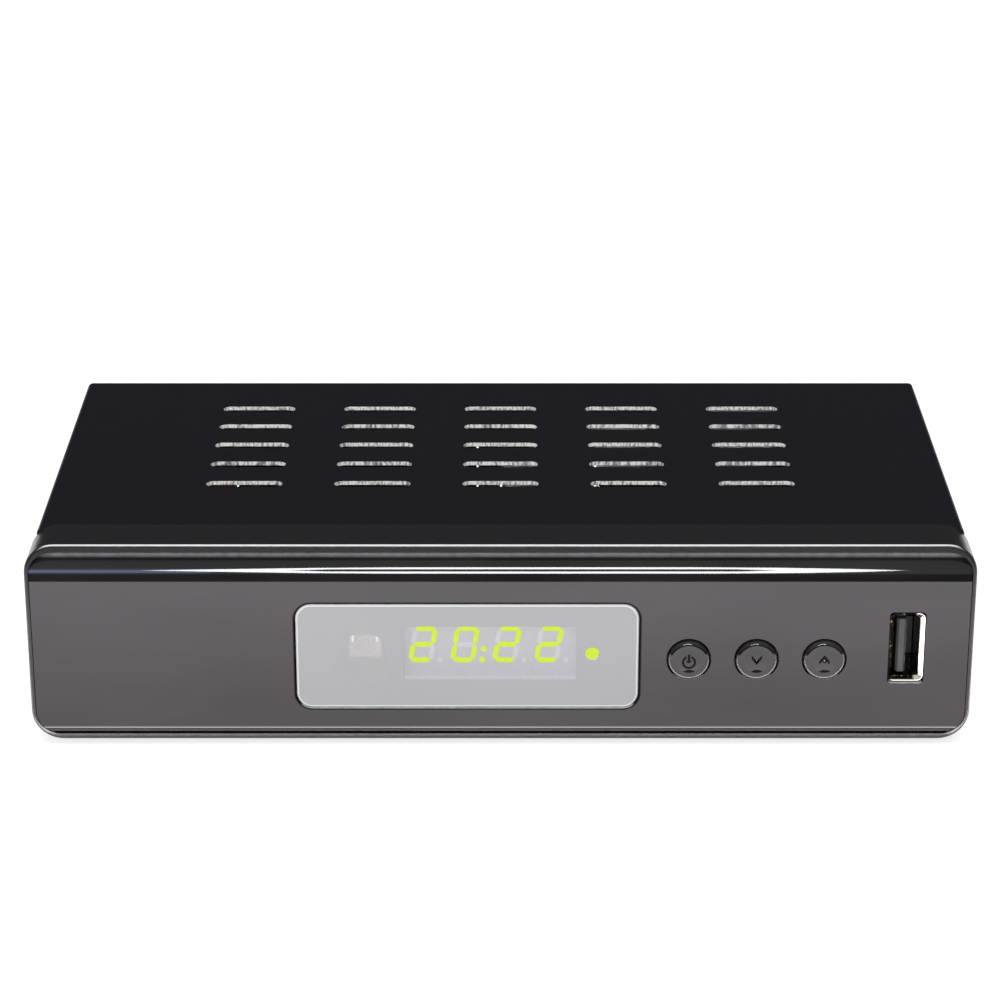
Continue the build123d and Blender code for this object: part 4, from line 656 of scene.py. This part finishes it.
paint(moulded("rubber", (0.008, 0.008, 0.008), (0.02, 0.02, 0.02), 0.78, 0.3, 0.05), "feet")
paint(moulded("black_plastic", (0.01, 0.01, 0.011), (0.018, 0.018, 0.019), 0.42),
      "scart_socket", "power_inlet", "ethernet_socket", "hdmi_tongue", "power_switch",
      "channel_down_switch", "channel_up_switch")
paint(moulded("grey_plastic", (0.17, 0.17, 0.18), (0.24, 0.24, 0.25), 0.4), "main_header",
      "front_header")
paint(moulded("tongue_plastic", (0.045, 0.045, 0.044), (0.06, 0.06, 0.058), 0.5),
      "front_usb_tongue")
paint(moulded("white_plastic", (0.6, 0.6, 0.56), (0.74, 0.74, 0.71), 0.4), "power_plunger",
      "channel_down_plunger", "channel_up_plunger", "aerial_insulators", "lamp_spacer")
paint(moulded("orange_plastic", (0.5, 0.1, 0.005), (0.66, 0.17, 0.012), 0.35), "coax_audio_block")

# %% [markdown]
# ## The circuit boards
#
# Green lacquer lies over copper tracks, which show as slightly raised, lighter lines. Tracks
# run in bundles, so stripes in two directions are switched on and off by large cells. Small
# plated holes are round specks. The sawn ends of a board are bare glass fibre.

# %% Lacquered boards
board_green = Finish("circuit_board", (0.01, 0.09, 0.035), 0.3)
x, y, z = board_green.place()
facing_x = board_green.facing()[0]
region = board_green.patches(9.0)
down_board = y + z              # y on the flat board, z on the upright one
tracks = region.above(0.55) * down_board.stripes(1.3, 0.3)
tracks = tracks.most(region.below(0.4) * x.stripes(1.1, 0.3))
holes = board_green.specks(0.45, 4.5, 0.55)
lacquer = board_green.mix(tracks, (0.006, 0.07, 0.025), (0.018, 0.16, 0.06))
lacquer = board_green.mix(holes, lacquer, (0.5, 0.48, 0.42))
sawn = abs(facing_x).above(0.7)
board_green.set("Base Color", board_green.mix(sawn, lacquer, (0.3, 0.25, 0.11)))
board_green.set("Metallic", holes * (1 - sawn))
board_green.set("Roughness", 0.28 + 0.1 * board_green.noise(2.0) + 0.2 * sawn)
board_green.bump(tracks + holes, 0.03, 0.6)
paint(board_green, "main_board", "front_board")

# %% [markdown]
# ## Parts on the boards
#
# Chips are dull epoxy with bright leads along the foot of each side. The leads follow a pitch,
# so stripes along x on the faces that look along y, and the other way round, draw them all. A
# capacitor has a dark sleeve with one pale stripe, and a bare top.

# %% Chips and capacitors
epoxy = Finish("chip_epoxy", (0.015, 0.015, 0.016), 0.5)
x, y, z = epoxy.place()
facing_x, facing_y, _ = epoxy.facing()
board_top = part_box("main_chip")[0][2] / MM
lead_pitch, lead_share, lead_height = 0.8, 0.45, 0.55
leads = x.stripes(lead_pitch, lead_share) * abs(facing_y).above(0.7)
leads = leads.most(y.stripes(lead_pitch, lead_share) * abs(facing_x).above(0.7))
leads = leads * z.below(board_top + lead_height, 0.1)
body = epoxy.mix(epoxy.noise(0.3), (0.01, 0.01, 0.01), (0.022, 0.022, 0.023))
epoxy.set("Base Color", epoxy.mix(leads, body, (0.6, 0.6, 0.6)))
epoxy.set("Metallic", leads)
epoxy.set("Roughness", 0.52 - 0.25 * leads)
epoxy.bump(epoxy.noise(0.1) + leads * 2, 0.01, 0.5)
paint(epoxy, "main_chip", "memory_chips", "flash_chips", "inductors")

sleeve = Finish("capacitor_sleeve", (0.01, 0.012, 0.03), 0.3)
facing_x, _, facing_z = sleeve.facing()
bare = facing_z.above(0.6)
skin = sleeve.mix(facing_x.below(-0.85, 0.05), (0.008, 0.01, 0.028), (0.4, 0.4, 0.42))
sleeve.set("Base Color", sleeve.mix(bare, skin, (0.68, 0.69, 0.7)))
sleeve.set("Metallic", bare)
sleeve.set("Roughness", 0.28 + 0.08 * sleeve.noise(0.5))
paint(sleeve, "capacitors")

# %% Ribbon cable
ribbon = Finish("ribbon", (0.4, 0.4, 0.42), 0.45)
x = ribbon.place()[0]
ribbon_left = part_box("ribbon_cable")[0][0] / MM
wire_pitch = 1.25
wires = (x - ribbon_left).stripes(wire_pitch, 0.8, 0.4)
grey = ribbon.mix(wires, (0.16, 0.16, 0.17), (0.4, 0.4, 0.42))
red = x.below(ribbon_left + 1.2) * wires
ribbon.set("Base Color", ribbon.mix(red, grey, (0.5, 0.03, 0.02)))
ribbon.set("Roughness", 0.4 + 0.1 * ribbon.noise(0.5))
ribbon.bump(wires, 0.15, 0.8)
paint(ribbon, "ribbon_cable")

# %% [markdown]
# ## Surfaces from formulas
#
# Screw heads with cross recesses and fine threads are worth real geometry, because they catch
# the light from every side. Each is a grid of points: one parameter runs along a profile from
# the axis outwards, the other goes round the axis. The whole grid is computed at once as an
# array, and neighbouring rows and columns are joined into faces.

# %% From grids of points to one piece


def turned_piece(name, grids, finish, body, replaced):
    """Joins grids of points into closed turned shapes that stand for one solid piece.

    A grid is rows by columns by (x, y, z) in millimetres. Its columns go round the axis and the
    last joins the first, and a row of equal points is a pole, which becomes one point.
    """
    corners = []
    count = 0
    for grid in grids:
        rows, columns = grid.shape[:2]
        index = count + np.arange(rows * columns).reshape(rows, columns)
        after = np.roll(index, -1, axis=1)
        around = np.stack([index[:-1], after[:-1], after[1:], index[1:]], axis=-1)
        corners.append(around.reshape(-1, 4))
        count += rows * columns
    points = np.vstack([grid.reshape(-1, 3) for grid in grids]) * MM
    mesh = bpy.data.meshes.new(name)
    mesh.from_pydata(points.tolist(), [], np.vstack(corners).tolist())
    close_and_turn_out(mesh)
    mesh.materials.append(finish.material)
    piece = bpy.data.objects.new(name, mesh)
    bpy.context.scene.collection.objects.link(piece)
    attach(piece, body)
    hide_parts(replaced)
    print(f"{name}: {len(grids)} turned shapes, {len(mesh.polygons)} faces, for {replaced}")


def close_and_turn_out(mesh):
    """Merges equal points, points the faces outwards, and shades gentle bends smooth."""
    work = bmesh.new()
    work.from_mesh(mesh)
    bmesh.ops.remove_doubles(work, verts=work.verts, dist=1e-7)
    bmesh.ops.recalc_face_normals(work, faces=work.faces)
    work.to_mesh(mesh)
    work.free()
    mesh.shade_smooth()
    mesh.set_sharp_from_angle(angle=math.radians(32))


def walk(corners, step):
    """Points along straight runs between corners, no further apart than the step."""
    corners = np.array(corners, dtype=float)
    runs = []
    for start, end in zip(corners[:-1], corners[1:]):
        count = max(1, math.ceil(float(np.linalg.norm(end - start)) / step))
        share = np.arange(count)[:, None] / count
        runs.append(start + (end - start) * share)
    return np.vstack([*runs, corners[-1:]])


def spin(profile, around):
    """Radius, distance along the axis and angle at every grid point of a turned profile.

    The profile is points (radius, distance), one to a row of the grid.
    """
    angle = np.linspace(0.0, 2 * np.pi, around, endpoint=False)
    return np.broadcast_arrays(profile[:, :1], profile[:, 1:], angle)


# %% [markdown]
# ## Screws
#
# The cover is held by four screws with low domed heads. The head is a cap whose height falls
# off towards the rim, minus a cross: a point lies in the cross where it is within half a slot's
# width of either arm and within the recess's reach. Below the head the shank carries a thread,
# a ridge that climbs by one pitch each time round.

# %% One screw as a function of radius and angle


def screw_points(head_radius, head_height, shank_radius, length, around):
    """A screw along +z with its seat at 0, as rows by columns by (x, y, z), in millimetres.

    Head: height = head_height * sqrt(1 - 0.75 (r / R)^2). Recess: a cross as deep as 0.7 of the
    head, its walls a slope over 0.08 mm. Thread: radius - 0.16 * (1 - 2 |z / pitch - turns|).
    """
    dome_radius = np.linspace(0.0, head_radius, 30)
    dome_height = head_height * np.sqrt(1 - 0.75 * (dome_radius / head_radius) ** 2)
    dome = np.stack([dome_radius, dome_height], axis=1)
    below = walk([(head_radius, 0.0), (shank_radius, 0.0), (shank_radius, 0.7 - length),
                  (0.0, -length)], 0.13)
    radius, along, angle = spin(np.vstack([dome, below]), around)
    across, up = radius * np.cos(angle), radius * np.sin(angle)
    on_head = np.arange(len(radius))[:, None] < len(dome)
    in_arm = np.clip((0.3 - np.minimum(np.abs(across), np.abs(up))) / 0.08, 0.0, 1.0)
    in_reach = np.clip((0.62 * head_radius - radius) / 0.15, 0.0, 1.0)
    height = along - on_head * in_arm * in_reach * 0.7 * head_height
    pitch = 0.8
    phase = (along / pitch - angle / (2 * np.pi)) % 1.0
    on_shank = (along < -0.3) & (along > 0.9 - length) & ~on_head
    radius = radius + on_shank * (0.32 * np.abs(phase - 0.5) - 0.16)
    return np.stack([radius * np.cos(angle), radius * np.sin(angle), height], axis=-1)


# %% Screws in the cover
screw_black = Finish("black_screw", (0.02, 0.02, 0.022), 0.3, metallic=0.6)
screw_black.set("Roughness", 0.26 + 0.14 * screw_black.noise(0.4))
screw_low, screw_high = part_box("cover_screws")
head_radius = (screw_high[2] - screw_low[2]) / 2 / MM
head_height = screw_high[0] / MM - cover_half
screw = screw_points(head_radius, head_height, shank_radius=1.3, length=4.0, around=120)
row_z = middle("cover_screws")[2]
grids = []
for side in (-1, 1):
    for row_y in (screw_low[1] / MM + head_radius, screw_high[1] / MM - head_radius):
        out, level, upward = screw[..., 2], screw[..., 0], screw[..., 1]
        grids.append(np.stack([side * (cover_half + out), row_y + side * level, row_z + upward],
                              axis=-1))
turned_piece("cover_screw_set", grids, screw_black, "case", "cover_screws")

# %% Screws on the boards
screw_zinc = lined("zinc_screw", (0.5, 0.5, 0.5), (0.68, 0.68, 0.66), 0.24, (1.0, 1.0, 1.0))
# The standoffs' places to the right and behind the front, and the bosses' places to the right.
standoffs = [(-68.0, 28.0), (62.0, 28.0), (-68.0, 66.0), (31.34, 66.0)]
bosses = [-33.0, 27.0, 65.0]
boss_height = 30.0
front_board_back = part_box("front_board")[1][1] / MM
screw = screw_points(head_radius, head_height=1.8, shank_radius=1.1, length=5.0, around=72)
grids = [screw + np.array([x, front_mm + depth, board_top]) for x, depth in standoffs]
facing_rear = np.stack([-screw[..., 0], screw[..., 2], screw[..., 1]], axis=-1)
grids += [facing_rear + np.array([x, front_board_back, boss_height]) for x in bosses]
turned_piece("board_screw_set", grids, screw_zinc, "case", "board_screws")

# %% [markdown]
# ## Threaded aerial sockets
#
# A lead screws onto each socket, so its outside is a fine thread with 32 turns to the inch. The
# profile is walked once round the tube's wall, outside and inside, and the thread is added to
# the radius only on the outside, and fades out towards both ends.

# %% Aerial sockets
insulator_low, insulator_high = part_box("aerial_insulators")
bore = (insulator_high[2] - insulator_low[2]) / 2 / MM
nut_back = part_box("aerial_nuts")[1][1] / MM
pitch = 25.4 / 32
thread_depth = 0.4
for name in ("lnb_in_socket", "lnb_out_socket"):
    low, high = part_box(name)
    crest = (high[0] - low[0]) / 2 / MM
    start, end = low[1] / MM, high[1] / MM
    relief = crest - 0.26
    profile = walk([(bore, start), (relief, start), (relief, nut_back), (crest, nut_back),
                    (crest, end - 0.5), (crest - 0.5, end), (bore, end), (bore, start)], 0.1)
    radius, along, angle = spin(profile, 72)
    phase = (along / pitch + angle / (2 * np.pi)) % 1.0
    groove = np.clip(1.6 * np.abs(phase - 0.5) - 0.2, 0.0, thread_depth)
    fade_in = np.clip((along - nut_back) / 0.6, 0.0, 1.0)
    fade_out = np.clip((end - 0.3 - along) / 0.5, 0.0, 1.0)
    radius = radius - (radius > crest - 0.2) * groove * fade_in * fade_out
    middle_x, _, middle_z = middle(name)
    points = np.stack([middle_x + radius * np.cos(angle), along, middle_z + radius * np.sin(angle)],
                      axis=-1)
    turned_piece(f"{name}_thread", [points], nickel, "case", name)

# %% [markdown]
# ## The studio
#
# A glossy black front shows its surroundings more than its own colour, so the studio is built
# for its reflections. Cards that only mirror-like rays can see stand round the receiver. A
# bright sheet on the table fills the flat face, and a stripe across it draws the light line
# along the foot. A low dark card leaves the foot of the roll black. A softbox with a slit makes
# the bright double band, and two blue cards behind it carry the band on to the left, dimly.
# Dim cards above, beside and behind keep the cover dark. The lamps light the floor, the ink and
# everything that isn't glossy.

# %% Floor and surroundings


def flat_card(name, corners):
    """A flat card through its corners in order, as one face."""
    mesh = bpy.data.meshes.new(name)
    mesh.from_pydata(corners, [], [tuple(range(len(corners)))])
    card = bpy.data.objects.new(name, mesh)
    bpy.context.scene.collection.objects.link(card)
    return card


reach = 3.0
below = -0.0001                 # keeps the floor off the undersides of the feet
glossy_kinds = ("Is Glossy Ray", "Is Transmission Ray")
floor = flat_card("floor", [(-reach, -reach, below), (reach, -reach, below),
                            (reach, reach, below), (-reach, reach, below)])
pale = Finish("pale_floor", (0.4, 0.4, 0.4), 0.9, Specular_IOR_Level=0.0, Emission_Strength=1.0)
seen = pale.node("ShaderNodeLightPath", {}, {}, "Is Camera Ray")
for kind in glossy_kinds:
    seen = seen + pale.node("ShaderNodeLightPath", {}, {}, kind)
pale.set("Emission Color", pale.mix(seen.least(1.0), (0.2, 0.2, 0.2), (0.72, 0.72, 0.72)))
floor.data.materials.append(pale.material)

world = bpy.data.worlds.new("studio_world")
world.use_nodes = True
bpy.context.scene.world = world
background = world.node_tree.nodes["Background"]
ambient = 0.5


def world_math(operation, *values):
    """One Math node of the world, on outputs or numbers."""
    made = world.node_tree.nodes.new("ShaderNodeMath")
    made.operation = operation
    for socket, value in zip(made.inputs, values):
        if isinstance(value, bpy.types.NodeSocket):
            world.node_tree.links.new(value, socket)
        else:
            socket.default_value = value
    return made.outputs[0]


rays = world.node_tree.nodes.new("ShaderNodeLightPath").outputs
seen = rays["Is Camera Ray"]
for kind in glossy_kinds:
    seen = world_math("ADD", seen, rays[kind])
strength = world_math("MULTIPLY_ADD", seen, 1.0 - ambient, ambient)
background.inputs["Color"].default_value = (1.0, 1.0, 1.0, 1.0)
world.node_tree.links.new(strength, background.inputs["Strength"])
print(f"ambient light {ambient}, seen as 1.0")

# %% Lamps


def soft_lamp(name, place, target, width, height, power):
    """A rectangular lamp at a place, turned to face the target."""
    data = bpy.data.lights.new(name, "AREA")
    data.shape = "RECTANGLE"
    data.size = width
    data.size_y = height
    data.energy = power
    lamp = bpy.data.objects.new(name, data)
    lamp.location = place
    aim = np.array(target, dtype=float) - np.array(place, dtype=float)
    lamp.rotation_euler = (math.atan2(math.hypot(aim[0], aim[1]), -aim[2]), 0.0,
                           math.atan2(-aim[0], aim[1]))
    lamp.visible_camera = False
    lamp.visible_glossy = False
    bpy.context.scene.collection.objects.link(lamp)
    print(f"{name}: {power} W")


soft_lamp("top_lamp", (0.0, 0.1, 1.2), (0.0, 0.0, 0.0), 1.4, 1.4, 14.0)
soft_lamp("front_lamp", (-0.3, -1.3, 0.7), (0.0, 0.0, 0.02), 1.0, 0.8, 9.0)

# %% Cards that only reflections see


def reflection_card(name, corners, strength, color=(1.0, 1.0, 1.0)):
    """A card of that brightness that only mirror-like rays see."""
    card = flat_card(name, corners)
    finish = Finish(name, (0.0, 0.0, 0.0), 1.0, Specular_IOR_Level=0.0, Emission_Strength=strength)
    finish.set("Emission Color", (*color, 1.0))
    card.data.materials.append(finish.material)
    card.visible_camera = False
    card.visible_diffuse = False
    card.visible_transmission = False
    card.visible_shadow = False
    print(f"{name}: strength {strength}")
    return finish


def upright(y, low, high, half):
    """Corners of an upright card across the receiver."""
    return [(-half, y, low), (half, y, low), (half, y, high), (-half, y, high)]


# %% Sheet on the table
sheet_near = front_y + 0.0015
sheet_far = front_y - 0.080
sheet_height = 0.0004
sheet = reflection_card("table_sheet",
                        [(-0.5, sheet_far, sheet_height), (0.5, sheet_far, sheet_height),
                         (0.5, sheet_near, sheet_height), (-0.5, sheet_near, sheet_height)], 27.0)
ahead = front_mm - sheet.place()[1]
# From the far end to the front, in millimetres ahead of it: a slow change of tone, a bright
# stripe, and a dark strip next to the receiver.
tone = sheet.mix(ahead.below(40.0, 78.0), (0.111, 0.1033, 0.109), (0.0823, 0.0757, 0.08))
tone = sheet.mix(ahead.below(6.2, 2.2), tone, (1.0, 0.97, 0.95))
sheet.set("Emission Color", sheet.mix(ahead.below(4.2, 0.5), tone, (0.057, 0.052, 0.05)))
reflection_card("low_flag", upright(sheet_far, 0.0006, 0.0443, 0.5), 0.06)

# %% Softbox with a slit
box_y = front_y - 1.0
reflected = 0.037               # height of the roll that mirrors the softbox


def at_elevation(x, degrees, behind=0.0):
    """A point of a card, by its distance to the right and its angle above the roll."""
    return (x, box_y - behind, reflected + math.tan(math.radians(degrees)) * (1.0 + behind))


# Half the softbox: distance to the right, and degrees from the middle line of the band.
half_box = [(-0.188, 0.0), (-0.112, 0.0), (-0.09, 4.3), (0.125, 4.3), (0.147, 0.0), (0.213, 0.0),
            (0.19, 5.0), (0.155, 9.5), (0.11, 11.4), (-0.06, 11.4), (-0.10, 9.5), (-0.145, 5.0)]
band_middle = 20.0              # degrees above the roll
for name, turn in (("upper_softbox", 1), ("lower_softbox", -1)):
    corners = [at_elevation(x, band_middle + turn * degrees) for x, degrees in half_box]
    reflection_card(name, corners, 28.0, (0.9, 0.94, 1.0))
spill_left, spill_right = -0.33, -0.15
for name, low, high, strength, behind in (("wide_spill", 5.5, 29.5, 1.1, 0.02),
                                          ("narrow_spill", 11.0, 22.0, 4.0, 0.01)):
    corners = [(spill_left, low), (spill_right, low), (spill_right, high), (spill_left, high)]
    reflection_card(name, [at_elevation(*corner, behind) for corner in corners], strength,
                    (0.53, 0.68, 1.0))

# %% Dim cards in front, above, beside and behind
ceiling = 1.3
split = -0.25                   # y where the darker front ceiling meets the rear one
reflection_card("front_flag", upright(front_y - 1.05, 0.03, ceiling, 1.6), 0.52)
for name, near, far, strength in (("ceiling_front", -1.5, split, 0.5),
                                  ("ceiling_rear", split, 0.35, 0.8)):
    reflection_card(name, [(-1.6, near, ceiling), (1.6, near, ceiling), (1.6, far, ceiling),
                           (-1.6, far, ceiling)], strength)
reflection_card("rear_flag", upright(0.62, 0.001, ceiling, 1.6), 0.06)
for name, beside in (("left_flag", -1.3), ("right_flag", 1.3)):
    reflection_card(name, [(beside, -1.0, 0.001), (beside, 0.6, 0.001), (beside, 0.6, 1.2),
                           (beside, -1.0, 1.2)], 0.35)
